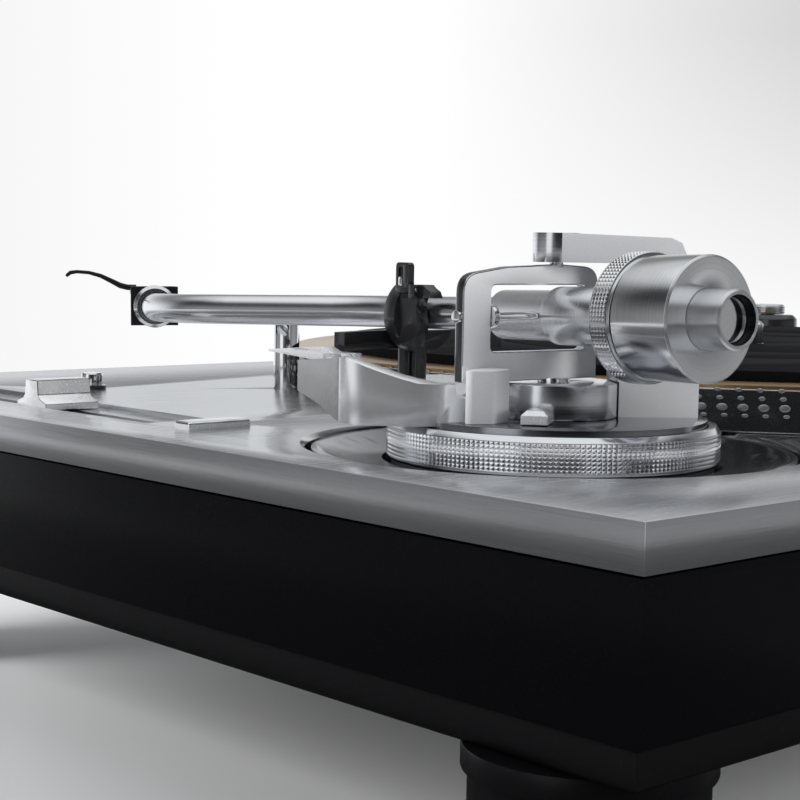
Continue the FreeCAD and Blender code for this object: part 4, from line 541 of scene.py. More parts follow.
class Shape:
    """Collects the faces of one piece before they become its mesh."""

    def __init__(self) -> None:
        """Starts empty."""
        self.points: list[Vector] = []
        self.faces: list[tuple[int, ...]] = []
        self.parts: list[int] = []

    def add(self, points: Iterable[Vector], faces: Iterable[Sequence[int]], place: Matrix,
            part: int = 0) -> int:
        """Adds points and the faces between them.

        Args:
            points: places in the given frame.
            faces: point numbers of each face, from 0.
            place: the frame that the points are in.
            part: which of the piece's materials the faces take.

        Returns:
            The number of the first of the points in this shape.
        """
        first = len(self.points)
        self.points.extend(place @ Vector(point) for point in points)
        self.cover(first, faces, part)
        return first

    def cover(self, first: int, faces: Iterable[Sequence[int]], part: int) -> None:
        """Adds faces between points that the shape has, counted from the first one."""
        for face in faces:
            self.faces.append(tuple(first + index for index in face))
            self.parts.append(part)

    def turn(self, outline: Profile, place: Matrix, segments: int = 128, part: int = 0) -> None:
        """Turns a closed outline of (radius, height) points round the frame's Z axis.

        Args:
            outline: points in order, with a radius of 0 only on the axis.
            place: the frame.
            segments: facets round the axis.
            part: the material of its faces.
        """
        count = len(outline)
        points: list[Vector] = []
        faces: list[tuple[int, ...]] = []
        for index in range(segments):
            angle = 2 * math.pi * index / segments
            for radius, height in outline:
                points.append(Vector((radius * math.cos(angle), radius * math.sin(angle), height)))
            here = index * count
            ahead = (index + 1) % segments * count
            for side in range(count):
                following = (side + 1) % count
                on_axis = (outline[side][0] == 0, outline[following][0] == 0)
                if on_axis == (True, False):
                    faces.append((here + side, ahead + following, here + following))
                elif on_axis == (False, True):
                    faces.append((here + side, ahead + side, here + following))
                elif on_axis == (False, False):
                    faces.append((here + side, ahead + side, ahead + following, here + following))
        self.add(points, faces, place, part)

    def knurl(self, radius: float, depth: float, low: float, high: float, columns: int, rows: int,
              place: Matrix, part: int = 0) -> None:
        """Wraps a band of small pyramids round the frame's Z axis.

        Args:
            radius: the radius at their tips.
            depth: how far the grooves between them go in.
            low: the band's lower end.
            high: its upper end.
            columns: pyramids round the band.
            rows: pyramids from low to high.
            place: the frame.
            part: the material of its faces.
        """
        floor = radius - depth
        step = (high - low) / rows
        turn = 2 * math.pi / columns
        points: list[Vector] = []
        faces: list[tuple[int, ...]] = []

        def at(distance: float, angle: float, height: float) -> Vector:
            """A point round the axis."""
            return Vector((distance * math.cos(angle), distance * math.sin(angle), height))

        for row in range(rows):
            for column in range(columns):
                left = column * turn
                base = low + row * step
                first = len(points)
                points.append(at(floor, left, base))
                points.append(at(floor, left + turn, base))
                points.append(at(floor, left + turn, base + step))
                points.append(at(floor, left, base + step))
                points.append(at(radius, left + turn / 2, base + step / 2))
                for side in range(4):
                    faces.append((first + side, first + (side + 1) % 4, first + 4))
        self.add(points, faces, place, part)

    def slab(self, outline: Profile, bottom: float, top: float, place: Matrix,
             part: int = 0) -> None:
        """Raises a closed outline from bottom to top along the frame's Z axis.

        Args:
            outline: its corners, anticlockwise seen from above.
            bottom: the lower end.
            top: the upper end.
            place: the frame.
            part: the material of its faces.
        """
        count = len(outline)
        points = [Vector((x, y, z)) for z in (bottom, top) for x, y in outline]
        faces: list[Sequence[int]] = [
            (index, (index + 1) % count, (index + 1) % count + count, index + count)
            for index in range(count)]
        faces.append(range(count - 1, -1, -1))
        faces.append(range(count, 2 * count))
        self.add(points, faces, place, part)

    def frame(self, outer: Profile, inner: Profile, bottom: float, top: float,
              place: Matrix, part: int = 0, sides: int = 0) -> None:
        """Raises a flat frame: an outer outline with an inner one cut out of it.

        Args:
            outer: its outer corners.
            inner: the corners of its window.
            bottom: the lower end along the frame's Z axis.
            top: the upper end.
            place: the frame.
            part: the material of its two faces and of the window's sides.
            sides: the material of its outer sides.
        """
        centre = sum((Vector(point) for point in inner), Vector((0.0, 0.0))) / len(inner)
        angles = sorted({round(math.atan2(y - centre.y, x - centre.x), 6)
                         for x, y in [*outer, *inner]})
        points: list[Vector] = []
        for angle in angles:
            for outline in (outer, inner):
                x, y = ray_end(outline, centre, angle)
                points.extend((Vector((x, y, bottom)), Vector((x, y, top))))
        flat: list[tuple[int, ...]] = []
        round_it: list[tuple[int, ...]] = []
        for index in range(len(angles)):
            here = index * 4
            ahead = (index + 1) % len(angles) * 4
            flat.append((here, here + 2, ahead + 2, ahead))
            flat.append((here + 1, ahead + 1, ahead + 3, here + 3))
            flat.append((here + 2, here + 3, ahead + 3, ahead + 2))
            round_it.append((here, ahead, ahead + 1, here + 1))
        self.cover(self.add(points, flat, place, part), round_it, sides)

    def bar(self, path: Sequence[Vector], sections: Sequence[tuple[float, float]],
            side: Vector, place: Matrix, part: int = 0, facets: int = 16) -> None:
        """Draws a bar of rounded section along a path.

        Args:
            path: the points of its centre line.
            sections: half width and half thickness at each point.
            side: the direction of its width.
            place: the frame.
            part: the material of its faces.
            facets: corners of its section.
        """
        points: list[Vector] = []
        for index, here in enumerate(path):
            before = path[max(index - 1, 0)]
            after = path[min(index + 1, len(path) - 1)]
            ahead = (after - before).normalized()
            up = side.cross(ahead).normalized()
            half_width, half_height = sections[index]
            for corner in range(facets):
                angle = 2 * math.pi * corner / facets
                across = math.copysign(abs(math.cos(angle)) ** SQUARENESS, math.cos(angle))
                rise = math.copysign(abs(math.sin(angle)) ** SQUARENESS, math.sin(angle))
                points.append(here + side * across * half_width + up * rise * half_height)
        faces: list[tuple[int, ...]] = []
        for index in range(len(path) - 1):
            for corner in range(facets):
                following = (corner + 1) % facets
                faces.append((index * facets + corner, index * facets + following,
                              (index + 1) * facets + following, (index + 1) * facets + corner))
        faces.append(tuple(reversed(range(facets))))
        faces.append(tuple((len(path) - 1) * facets + corner for corner in range(facets)))
        self.add(points, faces, place, part)

    def piece(self, name: str, materials: Sequence[bpy.types.Material],
              bevel: float = 0.0, crease: float = CREASE, edge: int = -1) -> bpy.types.Object:
        """Makes the mesh object.

        Args:
            name: the piece's name.
            materials: what its faces' material numbers mean.
            bevel: the width of softened edges.
            crease: the angle in degrees above which an edge is sharp.
            edge: the material of softened edges, or -1 for that of the faces beside them.

        Returns:
            The object, linked to the scene.
        """
        mesh = bpy.data.meshes.new(name)
        mesh.from_pydata([tuple(point) for point in self.points], [], self.faces)
        mesh.polygons.foreach_set("material_index", self.parts)
        return finish_piece(name, mesh, materials, bevel, crease, edge)


def finish_piece(name: str, mesh: bpy.types.Mesh, materials: Sequence[bpy.types.Material],
                 bevel: float, crease: float, edge: int = -1) -> bpy.types.Object:
    """Cleans a mesh, softens its edges and makes it an object.

    Args:
        name: the piece's name.
        mesh: the mesh, with its faces' material numbers set.
        materials: the materials in order.
        bevel: the width of softened edges, or 0.
        crease: the angle in degrees above which an edge is sharp.
        edge: the material of softened edges, or -1 for that of the faces beside them.

    Returns:
        The object, linked to the scene.
    """
    work = bmesh.new()
    work.from_mesh(mesh)
    bmesh.ops.remove_doubles(work, verts=work.verts, dist=JOIN_GAP)
    bmesh.ops.dissolve_degenerate(work, edges=work.edges, dist=JOIN_GAP / 10)
    bmesh.ops.recalc_face_normals(work, faces=work.faces)
    if bevel:
        limit = math.radians(crease)
        sharp = [side for side in work.edges
                 if side.is_manifold and side.calc_face_angle(0.0) > limit]
        bmesh.ops.bevel(work, geom=sharp, offset=bevel, segments=2, profile=0.5, material=edge,
                        affect="EDGES", clamp_overlap=True, harden_normals=False)
    work.to_mesh(mesh)
    work.free()
    for polygon in mesh.polygons:
        polygon.use_smooth = True
    mesh.set_sharp_from_angle(angle=math.radians(crease))
    for material in materials:
        mesh.materials.append(material)
    piece = bpy.data.objects.new(name, mesh)
    bpy.context.scene.collection.objects.link(piece)
    return piece


def softened(node: str, name: str, materials: Sequence[bpy.types.Material], bevel: float,
             crease: float = CREASE) -> bpy.types.Object:
    """Copies a CAD node as a piece with softened edges.

    Args:
        node: the CAD node's name.
        name: the new piece's name.
        materials: its material, and that of its softened edges if they have their own.
        bevel: the width of the softened edges.
        crease: the angle in degrees above which an edge is softened.

    Returns:
        The piece, which lies exactly on the node.
    """
    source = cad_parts[node].data
    mesh = bpy.data.meshes.new(name)
    mesh.from_pydata([tuple(vertex.co) for vertex in source.vertices], [],
                     [tuple(polygon.vertices) for polygon in source.polygons])
    work = bmesh.new()
    work.from_mesh(mesh)
    bmesh.ops.remove_doubles(work, verts=work.verts, dist=CAD_JOIN_GAP)
    bmesh.ops.dissolve_limit(work, angle_limit=FLAT_WITHIN, verts=work.verts,
                             edges=work.edges)
    work.to_mesh(mesh)
    work.free()
    return finish_piece(name, mesh, materials, bevel, crease, len(materials) - 1)


def stand_in(piece: bpy.types.Object, body: str, slot: str, *nodes: str) -> bpy.types.Object:
    """Lets a piece ride on a body in place of CAD nodes.

    Args:
        piece: the new piece.
        body: the body that carries it.
        slot: the material slot that it belongs to; not used.
        nodes: the CAD nodes that it stands for.

    Returns:
        The piece.
    """
    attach(piece, body)
    if nodes:
        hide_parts(*nodes)
    log.info("piece %s rides on %s", piece.name, body)
    return piece


@dataclass
class Assembly:
    """A group of pieces that shares the finishes."""

    finishes: Finishes

    def dress(self, node: str, finish: str) -> None:
        """Gives a CAD node that stays in view its finish."""
        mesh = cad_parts[node].data
        mesh.materials.clear()
        mesh.materials.append(self.finishes.get(finish))
        log.info("node %s finished as %s", node, finish)

    def soften(self, node: str, finish: str, body: str, bevel: float,
               crease: float = CREASE, edge: str = "") -> bpy.types.Object:
        """Replaces a CAD node by its copy with softened edges, which may have their own finish."""
        names = [finish, edge] if edge else [finish]
        piece = softened(node, node + "_shape", self.materials(*names), bevel, crease)
        return stand_in(piece, body, node, node)

    def materials(self, *names: str) -> list[bpy.types.Material]:
        """The materials of several finishes."""
        return [self.finishes.get(name) for name in names]

    def paint(self, piece: bpy.types.Object, finish: str,
              chosen: Callable[[bpy.types.MeshPolygon], bool]) -> None:
        """Gives the faces that a rule chooses another finish.

        Args:
            piece: the piece.
            finish: the finish, added behind those that the piece has.
            chosen: the rule, which says of a face whether it is meant.
        """
        number = len(piece.data.materials)
        piece.data.materials.append(self.finishes.get(finish))
        for polygon in piece.data.polygons:
            if chosen(polygon):
                polygon.material_index = number

    def knurled_dial(self, node: str, body: str, name: str, finish: str, base: float, edge: float,
                     top: Profile, soft: float, band: tuple[float, float, int, int]) -> None:
        """Replaces a small dial by one with a stem, a knurled band and a chamfered top.

        Args:
            node: the CAD node.
            body: the body that carries it.
            name: the new piece's name.
            finish: the finish of its plain faces.
            base: how far the head reaches down from the top.
            edge: the knurl's depth and the chamfer's width.
            top: further points of its top: share of the radius, and depth under the top.
            soft: the rounding of its corners.
            band: the knurl's margins below and above, its columns and its rows.
        """
        low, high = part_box(node)
        centre = (low + high) / 2
        radius = (high.x - low.x) / 2
        under = high.z - base
        place = upright(centre.x, centre.y, 0.0)
        outline = [(0.0, low.z), (DIAL_STEM, low.z), (DIAL_STEM, under), (radius - edge, under),
                   (radius - edge, high.z - edge), (radius - 2 * edge, high.z)]
        outline.extend((radius * share, high.z - depth) for share, depth in top)
        dial = Shape()
        dial.turn(rounded(outline, soft, sharp=(0, len(outline) - 1)), place, 96)
        below, above, columns, rows = band
        dial.knurl(radius, edge, under + below, high.z - above, columns, rows, place, 1)
        stand_in(dial.piece(name, self.materials(finish, "knurl_bright")), body, node, node)


@dataclass
class Cabinet(Assembly):
    """The deck slab, the cabinet under it, the base and the feet."""

    slab_edge: float = 0.6 * MM
    cabinet_edge: float = 0.6 * MM
    base_edge: float = 0.4 * MM
    foot_edge: float = 0.6 * MM
    side_lean: float = 0.2
    top_lean: float = 0.95
    squarely: float = 0.98
    edge_area: float = 6.0 * MM * MM

    def build(self) -> None:
        """Builds and dresses them all."""
        self.deck()
        self.soften("cabinet", "cabinet_black", "chassis", self.cabinet_edge)
        self.soften("lower_base", "base_rubber", "chassis", self.base_edge)
        self.dress("base_screws", "zinc_screw")
        for side in ("front_left", "front_right", "rear_left", "rear_right"):
            self.soften("foot_" + side, "foot_shell", "foot_" + side, self.foot_edge)
            self.soften("foot_pad_" + side, "foot_sole", "foot_" + side, self.foot_edge)
        self.dress("circuit_board", "board_green")

    def deck(self) -> None:
        """The slab: hairlines on its top, coarser ones on its sides, which are also painted darker
        as shade, and bright softened edges.
        """

        def side(polygon: bpy.types.MeshPolygon) -> bool:
            """Whether a face stands upright."""
            return abs(polygon.normal.z) < self.side_lean

        def edge(polygon: bpy.types.MeshPolygon) -> bool:
            """Whether a face is small, slants, or turns a corner of the slab."""
            slants = self.side_lean < abs(polygon.normal.z) < self.top_lean
            square = max(abs(polygon.normal.x), abs(polygon.normal.y)) >= self.squarely
            return polygon.area < self.edge_area or slants or (side(polygon) and not square)

        piece = self.soften("top_panel", "deck_hairline", "chassis", self.slab_edge)
        # Painted shade: upright faces take a darker copy of the slab's finish.
        self.paint(piece, "deck_side_shaded", side)
        self.paint(piece, "bright_edge", edge)


@dataclass
class Platter(Assembly):
    """The platter with its dotted rim, mat and spindle, and the motor inside."""

    dots: int = 186
    dot_sides: int = 12
    dot_rise: float = 0.25 * MM
    rim_low: float = 3.0 * MM
    row_shift: float = 0.31
    rows: tuple[tuple[float, float, float], ...] = (
        (8.4, 1.9, 1.25), (6.2, 1.9, 1.25), (3.7, 3.1, 2.0), (1.5, 1.9, 1.1))

    def build(self) -> None:
        """Builds and dresses them all."""
        self.rim()
        self.dress("brass_plate", "brass_hairline")
        self.dress("platter_damper", "damper_rubber")
        self.soften("platter_mat", "mat_rubber", "mat", 0.25 * MM)
        self.dress("rotor_magnet", "ferrite")
        self.dress("spindle", "polished_steel")
        self.dress("motor_base", "die_cast")
        self.dress("stator_coils", "copper_wire")

    def rim(self) -> None:
        """The platter's casting, its black rim band and the bright dots round it."""
        piece = self.soften("platter", "platter_turned", "rotor", 0.3 * MM)
        low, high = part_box("platter")
        centre = (low + high) / 2
        radius = (high.x - low.x) / 2

        def reach(point: Vector) -> float:
            """How far a point is from the spindle's axis."""
            return math.hypot(point.x - centre.x, point.y - centre.y)

        self.paint(piece, "platter_rim_black", lambda polygon: (
            reach(polygon.center) > radius - 0.1 * MM and abs(polygon.normal.z) < 0.2))
        for vertex in piece.data.vertices:
            out = reach(vertex.co)
            if out > radius - 0.2 * MM:
                share = (radius - self.dot_rise) / out
                vertex.co.x = centre.x + (vertex.co.x - centre.x) * share
                vertex.co.y = centre.y + (vertex.co.y - centre.y) * share
        place = upright(centre.x, centre.y, low.z + self.rim_low)
        dots = Shape()
        for number, (height, width, tall) in enumerate(self.rows):
            count = self.dots + (number - 1) * 2
            for index in range(count):
                heading = 2 * math.pi * (index + number * self.row_shift) / count
                face = along_x(place @ Matrix.Rotation(heading, 4, "Z") @ Matrix.Translation(
                    (radius - self.dot_rise, 0.0, height * MM)))
                self.dot(dots, face, width * MM / 2, tall * MM / 2)
        stand_in(dots.piece("rim_dots", self.materials("rim_dot"), crease=50.0), "rotor", "platter")

    def dot(self, shape: Shape, face: Matrix, half_width: float, half_height: float) -> None:
        """One low rounded dot on the rim."""
        rings = ((1.0, -0.2), (0.86, 0.45), (0.55, 0.82), (0.2, 0.95))
        sides = self.dot_sides
        points: list[Vector] = []
        for share, rise in rings:
            for corner in range(sides):
                angle = 2 * math.pi * corner / sides
                points.append(Vector((-half_height * share * math.sin(angle),
                                      half_width * share * math.cos(angle),
                                      self.dot_rise * rise)))
        last = sides * (len(rings) - 1)
        faces = [(low + i, low + (i + 1) % sides, low + sides + (i + 1) % sides, low + sides + i)
                 for low in range(0, last, sides) for i in range(sides)]
        faces.append(tuple(last + i for i in range(sides)))
        shape.add(points, faces, face)


@dataclass
class Controls(Assembly):
    """The strobe pillar, buttons, fader, stylus light and adaptor."""

    def build(self) -> None:
        """Builds and dresses them all."""
        self.strobe()
        for name, body in (("start_stop_button", "start_stop"), ("speed_33_button", "speed_33"),
                           ("speed_45_button", "speed_45")):
            self.soften(name, "button_satin", body, 0.25 * MM)
        self.soften("reset_button", "key_satin", "reset", 0.3 * MM, edge="bright_edge")
        self.soften("fader_knob", "key_satin", "fader", 0.25 * MM, edge="bright_edge")
        self.dress("fader_rail", "socket_black")
        self.soften("light_post", "chrome", "stylus_light", 0.2 * MM)
        self.soften("light_button", "chrome", "light_button", 0.2 * MM)
        self.soften("light_button_ring", "pillar_gloss", "chassis", 0.2 * MM)
        self.soften("adaptor_45", "button_satin", "adaptor", 0.4 * MM)

    def strobe(self) -> None:
        """The black pillar, and the knurled power dial on it with a shallow dish in its top."""
        self.soften("strobe_pillar", "pillar_gloss", "chassis", 0.5 * MM)
        dish = ((0.45, 0.0), (0.4, 0.3 * MM), (0.0, 0.3 * MM))
        self.knurled_dial("power_dial", "power_dial", "power_dial_knurled", "button_satin",
                          4.3 * MM, 0.5 * MM, dish, 0.15 * MM, (0.3 * MM, 0.8 * MM, 60, 4))


@dataclass
class ArmBase(Assembly):
    """The dished flange, the knurled height ring, the casting and what stands on it."""

    ring_depth: float = 0.42 * MM
    ring_columns: int = 208
    ring_rows: int = 7
    band_low: float = -2.0 * MM
    band_high: float = 4.9 * MM
    disc_reach: float = 38.4 * MM
    disc_top: float = 7.7 * MM
    clamp_low: tuple[float, float] = (46.2 * MM, 37.2 * MM)
    clamp_high: tuple[float, float] = (51.8 * MM, 44.4 * MM)
    clamp_middle: float = 9.6 * MM
    clamp_hinge: float = 37.2 * MM

    def build(self) -> None:
        """Builds and dresses them all."""
        self.soften("arm_flange", "dish_dark", "chassis", 0.3 * MM)
        self.dress("arm_base", "die_cast")
        self.height_ring()
        self.casting()
        self.soften("anti_skate_housing", "bridge_satin", "platform", 0.3 * MM)
        self.anti_skate_dial()
        self.soften("lock_lever", "lever_satin", "lock_lever", 0.2 * MM, 20.0)
        self.soften("cue_lever", "platform_blasted", "cue_lever", 0.25 * MM)
        self.soften("lift_bar", "rest_black", "lift_bar", 0.3 * MM)
        self.soften("arm_rest", "rest_black", "platform", 0.4 * MM)
        self.clamp()

    def casting(self) -> None:
        """The casting: a satin wall, one rough ground facet, and a polished disc, with the facet
        and the disc painted dark as shade.
        """
        piece = self.soften("arm_platform", "casting_satin", "platform", 0.35 * MM,
                            edge="bright_edge")

        def disc(polygon: bpy.types.MeshPolygon) -> bool:
            """Whether a plain face lies low and inside the height ring's seat."""
            place = polygon.center - PIVOT
            inside = math.hypot(place.x, place.y) < self.disc_reach
            return polygon.material_index == 0 and place.z < self.disc_top and inside

        def facet(polygon: bpy.types.MeshPolygon) -> bool:
            """Whether a face outside the disc looks right and a little to the front."""
            looks = polygon.normal.x > 0.8 and polygon.normal.y < -0.2
            return polygon.material_index < 2 and looks

        # Painted shade: the low disc and the facet that looks right and to the front get dark
        # copies of the casting's finish.
        self.paint(piece, "disc_turned_shaded", disc)
        self.paint(piece, "casting_ground_shaded", facet)

    def clamp(self) -> None:
        """The clamp of the arm rest: a black frame with a slot and a chrome catch in it."""
        low, high = self.clamp_low, self.clamp_high
        outline = rounded([(low[0], low[1]), (high[0], low[1]), (high[0], high[1]),
                           (low[0], high[1])], 1.3 * MM, 5, sharp=(0, 1))
        slot = rounded([(low[0] + 2.4 * MM, low[1] + 2.2 * MM),
                        (high[0] - 1.2 * MM, low[1] + 2.2 * MM),
                        (high[0] - 1.2 * MM, high[1] - 1.1 * MM),
                        (low[0] + 2.4 * MM, high[1] - 1.1 * MM)], 0.6 * MM, 3)
        middle = upright(PIVOT.x, PIVOT.y, PIVOT.z, ARM_HEADING) @ Matrix.Translation(
            (0.0, self.clamp_middle, 0.0))
        face = middle @ Matrix.Rotation(math.radians(90.0), 4, "X")
        clamp = Shape()
        clamp.frame(outline, slot, -0.95 * MM, 0.95 * MM, face)
        clamp.slab(rounded([(high[0] - 2.9 * MM, low[1] + 0.9 * MM),
                            (high[0] - 1.3 * MM, low[1] + 0.9 * MM),
                            (high[0] - 1.3 * MM, low[1] + 3.4 * MM),
                            (high[0] - 2.9 * MM, low[1] + 3.4 * MM)], 0.4 * MM), -1.08 * MM,
                   1.08 * MM, face, 1)
        barrel = along_x(middle @ Matrix.Translation((low[0], 0.0, self.clamp_hinge)))
        length = high[0] - low[0]
        clamp.turn([(0.0, 0.0), (1.1 * MM, 0.0), (1.1 * MM, length), (0.0, length)], barrel, 40)
        clamp.turn([(0.0, -2.3 * MM), (0.6 * MM, -2.3 * MM), (0.6 * MM, 0.2 * MM),
                    (0.0, 0.2 * MM)], barrel, 24, 1)
        stand_in(clamp.piece("rest_clamp_slotted", self.materials("rest_black", "chrome"),
                             0.18 * MM), "clamp", "rest_clamp", "rest_clamp")

    def height_ring(self) -> None:
        """The turning ring with its band of small pyramids and bright bevels."""
        low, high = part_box("height_ring")
        radius = (high.x - low.x) / 2
        inner = 28.08 * MM
        seat = 38.3 * MM
        floor = DECK_TOP + 3.4 * MM
        valley = radius - self.ring_depth
        place = upright(PIVOT.x, PIVOT.y, 0.0)
        start = DECK_TOP + self.band_low
        end = DECK_TOP + self.band_high
        bevel = 1.1 * MM
        ring = Shape()
        ring.turn(rounded([(inner, low.z), (radius - 0.4 * MM, low.z), (radius - 0.1 * MM, start),
                           (valley, start), (valley, end), (radius - 0.1 * MM, end),
                           (radius - bevel, high.z), (seat, high.z), (seat, floor),
                           (inner, floor)], 0.12 * MM), place, 256)
        ring.knurl(radius, self.ring_depth, start, end, self.ring_columns, self.ring_rows, place, 1)
        stand_in(ring.piece("height_ring_knurled", self.materials("ring_turned", "knurl_bright")),
                 "height_ring", "height_ring", "height_ring")

    def anti_skate_dial(self) -> None:
        """The small dial with a knurled edge."""
        self.knurled_dial("anti_skate_dial", "anti_skate", "anti_skate_knurled", "ring_turned",
                          2.7 * MM, 0.4 * MM, ((0.0, 0.0),), 0.12 * MM,
                          (0.1 * MM, 0.5 * MM, 66, 2))


@dataclass
class Gimbal(Assembly):
    """The yoke, the bridge over it, the lower bearing and the bearing screws."""

    outer: Profile = ((-13.0, 16.5), (30.6, 16.5), (30.6, 42.2), (17.0, 44.2), (0.0, 44.9),
                      (-13.0, 44.2))
    window: Profile = ((-9.0, 23.7), (21.9, 23.7), (21.9, 39.8), (-9.0, 39.8))
    thickness: float = 3.0 * MM
    outer_round: float = 5.0 * MM
    window_round: float = 1.7 * MM
    end_reach: float = 6.3 * MM
    end_bottom: float = 45.0 * MM

    def build(self) -> None:
        """Builds and dresses them all."""
        self.soften("lower_bearing", "drum_turned", "platform", 0.4 * MM)
        self.yoke()
        self.soften("bearing_screws", "polished_steel", "gimbal", 0.25 * MM)
        self.bridge()

    def yoke(self) -> None:
        """The swinging frame, with round corners, bright edges, outer sides painted dark as shade,
        and its two pins.
        """
        outer = rounded([(x * MM, z * MM) for x, z in self.outer], self.outer_round, 6,
                        sharp=(0, 1, 3, 4))
        window = rounded([(x * MM, z * MM) for x, z in self.window], self.window_round, 4)
        stand = upright(PIVOT.x, PIVOT.y, PIVOT.z, ARM_HEADING)
        half = self.thickness / 2
        yoke = Shape()
        yoke.frame(outer, window, -half, half, across_x(stand), sides=1)
        yoke.turn([(0.0, 10.0 * MM), (4.0 * MM, 10.0 * MM), (4.0 * MM, 17.0 * MM),
                   (0.0, 17.0 * MM)], stand, 48, 2)
        yoke.turn([(0.0, 44.0 * MM), (1.75 * MM, 44.0 * MM), (1.75 * MM, 48.9 * MM),
                   (0.0, 48.9 * MM)], stand, 32, 2)
        finishes = self.materials("yoke_powder", "yoke_side_shaded", "bright_edge")
        piece = yoke.piece("yoke_rounded", finishes, 0.3 * MM, edge=2)
        stand_in(piece, "gimbal", "yoke", "yoke")

    def bridge(self) -> None:
        """The fixed arm: satin sides, bright edges and a polished round end over the pivot."""
        piece = self.soften("bridge", "bridge_satin", "platform", 0.4 * MM, edge="bright_edge")

        def round_end(polygon: bpy.types.MeshPolygon) -> bool:
            """Whether a face belongs to the upright wall of the round end."""
            place = polygon.center - PIVOT
            near = math.hypot(place.x, place.y) < self.end_reach
            return near and abs(polygon.normal.z) < 0.5 and place.z > self.end_bottom

        self.paint(piece, "drum_turned", round_end)


@dataclass
class Tonearm(Assembly):
    """The tube, the housing, the counterweight and the head."""

    scale_radius: float = 15.6 * MM
    scale_front: float = 27.5 * MM
    scale_length: float = 6.2 * MM
    knurl_depth: float = 0.4 * MM
    shaft_gap: float = 5.08 * MM
    weight_radius: float = 14.6 * MM
    weight_front: float = 34.0 * MM
    weight_rear: float = 51.8 * MM
    hub_radius: float = 6.9 * MM
    hub_end: float = 60.0 * MM

    def build(self) -> None:
        """Builds and dresses them all."""
        self.dress("arm_tube", "tube_satin")
        self.soften("arm_bearing_housing", "housing_turned", "arm", 0.3 * MM)
        self.dress("rear_shaft", "polished_steel")
        self.scale_ring()
        self.counterweight()
        self.collar()
        self.soften("headshell", "shell_black", "head", 0.4 * MM)
        self.finger_lift()

    def scale_ring(self) -> None:
        """The knurled scale ring in front of the counterweight."""
        place = along_x(arm_frame())
        front = -self.scale_front
        rear = front - self.scale_length
        valley = self.scale_radius - self.knurl_depth
        edge = 0.9 * MM
        ring = Shape()
        ring.turn(rounded([(self.shaft_gap, rear), (valley - 1.2 * MM, rear),
                           (valley, rear + 0.2 * MM), (valley, front - edge),
                           (self.scale_radius - 0.1 * MM, front - edge),
                           (self.scale_radius - edge, front), (self.shaft_gap, front)],
                          0.12 * MM), place, 160)
        ring.knurl(self.scale_radius, self.knurl_depth, rear + 0.2 * MM, front - edge, 96, 5,
                   place, 1)
        stand_in(ring.piece("scale_ring_knurled", self.materials("arm_turned", "knurl_bright")),
                 "scale", "scale_ring", "scale_ring")

    def counterweight(self) -> None:
        """The turned counterweight with its polished rear face, hub and dark socket."""
        place = along_x(arm_frame())
        front = -self.weight_front
        rear = -self.weight_rear
        hub_end = -self.hub_end
        cup = hub_end + 2.4 * MM
        weight = Shape()
        weight.turn(rounded([(self.shaft_gap, front), (self.weight_radius - 0.6 * MM, front),
                             (self.weight_radius, front - 0.6 * MM),
                             (self.weight_radius, rear + 0.5 * MM),
                             (self.weight_radius - 0.5 * MM, rear),
                             (self.hub_radius + 0.5 * MM, rear + 0.9 * MM),
                             (self.hub_radius, rear + 1.4 * MM),
                             (self.hub_radius, hub_end + 0.5 * MM),
                             (self.hub_radius - 0.5 * MM, hub_end),
                             (5.7 * MM, hub_end), (5.5 * MM, cup), (self.shaft_gap, cup)],
                            0.12 * MM), place, 160)
        piece = weight.piece("counterweight_turned", self.materials("weight_turned"))
        inverse = place.inverted()

        def face(polygon: bpy.types.MeshPolygon) -> bool:
            """Whether a face belongs to the rear face or the hub."""
            local = inverse @ polygon.center
            on_hub = math.hypot(local.x, local.y) < self.hub_radius + 0.3 * MM
            return local.z < rear + 0.45 * MM or on_hub

        def socket(polygon: bpy.types.MeshPolygon) -> bool:
            """Whether a face belongs to the socket in the hub's end."""
            local = inverse @ polygon.center
            return math.hypot(local.x, local.y) < 5.65 * MM and local.z < cup + 0.2 * MM

        self.paint(piece, "face_turned", face)
        self.paint(piece, "shell_black", socket)
        stand_in(piece, "weight", "counterweight", "counterweight")

    def collar(self) -> None:
        """The locking collar with its fine grip lines and bright ends."""
        place = along_x(head_frame())
        start = 38.0 * MM
        end = 50.0 * MM
        radius = 6.9 * MM
        inner = 4.48 * MM
        collar = Shape()
        collar.turn(rounded([(inner, start), (radius - 1.0 * MM, start), (radius, start + 1.0 * MM),
                             (radius, start + 3.0 * MM), (radius - 0.5 * MM, start + 3.4 * MM),
                             (radius - 0.5 * MM, start + 4.4 * MM), (radius, start + 4.8 * MM),
                             (radius, end - 1.0 * MM), (radius - 0.8 * MM, end), (inner, end)],
                            0.15 * MM), place, 96)
        stand_in(collar.piece("collar_ring", self.materials("collar_turned")),
                 "collar", "locking_collar", "locking_collar")

    def finger_lift(self) -> None:
        """The thin curved finger lift, wide at its root and narrow at its tip."""
        place = head_frame()
        along = 50.3 * MM + 18.0 * MM + 3.0 * MM
        root = 7.8 * MM
        top = 6.45 * MM
        line = ((-2.0, -0.4, 1.0), (1.0, -0.3, 1.0), (3.4, 0.3, 1.0), (6.5, 1.9, 0.85),
                (10.0, 3.6, 0.72), (14.0, 4.7, 0.62), (18.0, 5.0, 0.6), (20.2, 4.7, 0.7),
                (21.2, 3.9, 0.6), (21.6, 3.4, 0.4))
        path = [Vector((along, root + out * MM, top + lift * MM)) for out, lift, _ in line]
        sections = [((3.0 - 0.07 * max(out, 0.0)) * MM, half * MM) for out, _, half in line]
        lift_piece = Shape()
        lift_piece.bar(path, sections, Vector((1.0, 0.0, 0.0)), place)
        stand_in(lift_piece.piece("finger_lift_curved", self.materials("shell_black"), crease=60.0),
                 "head", "finger_lift", "finger_lift")


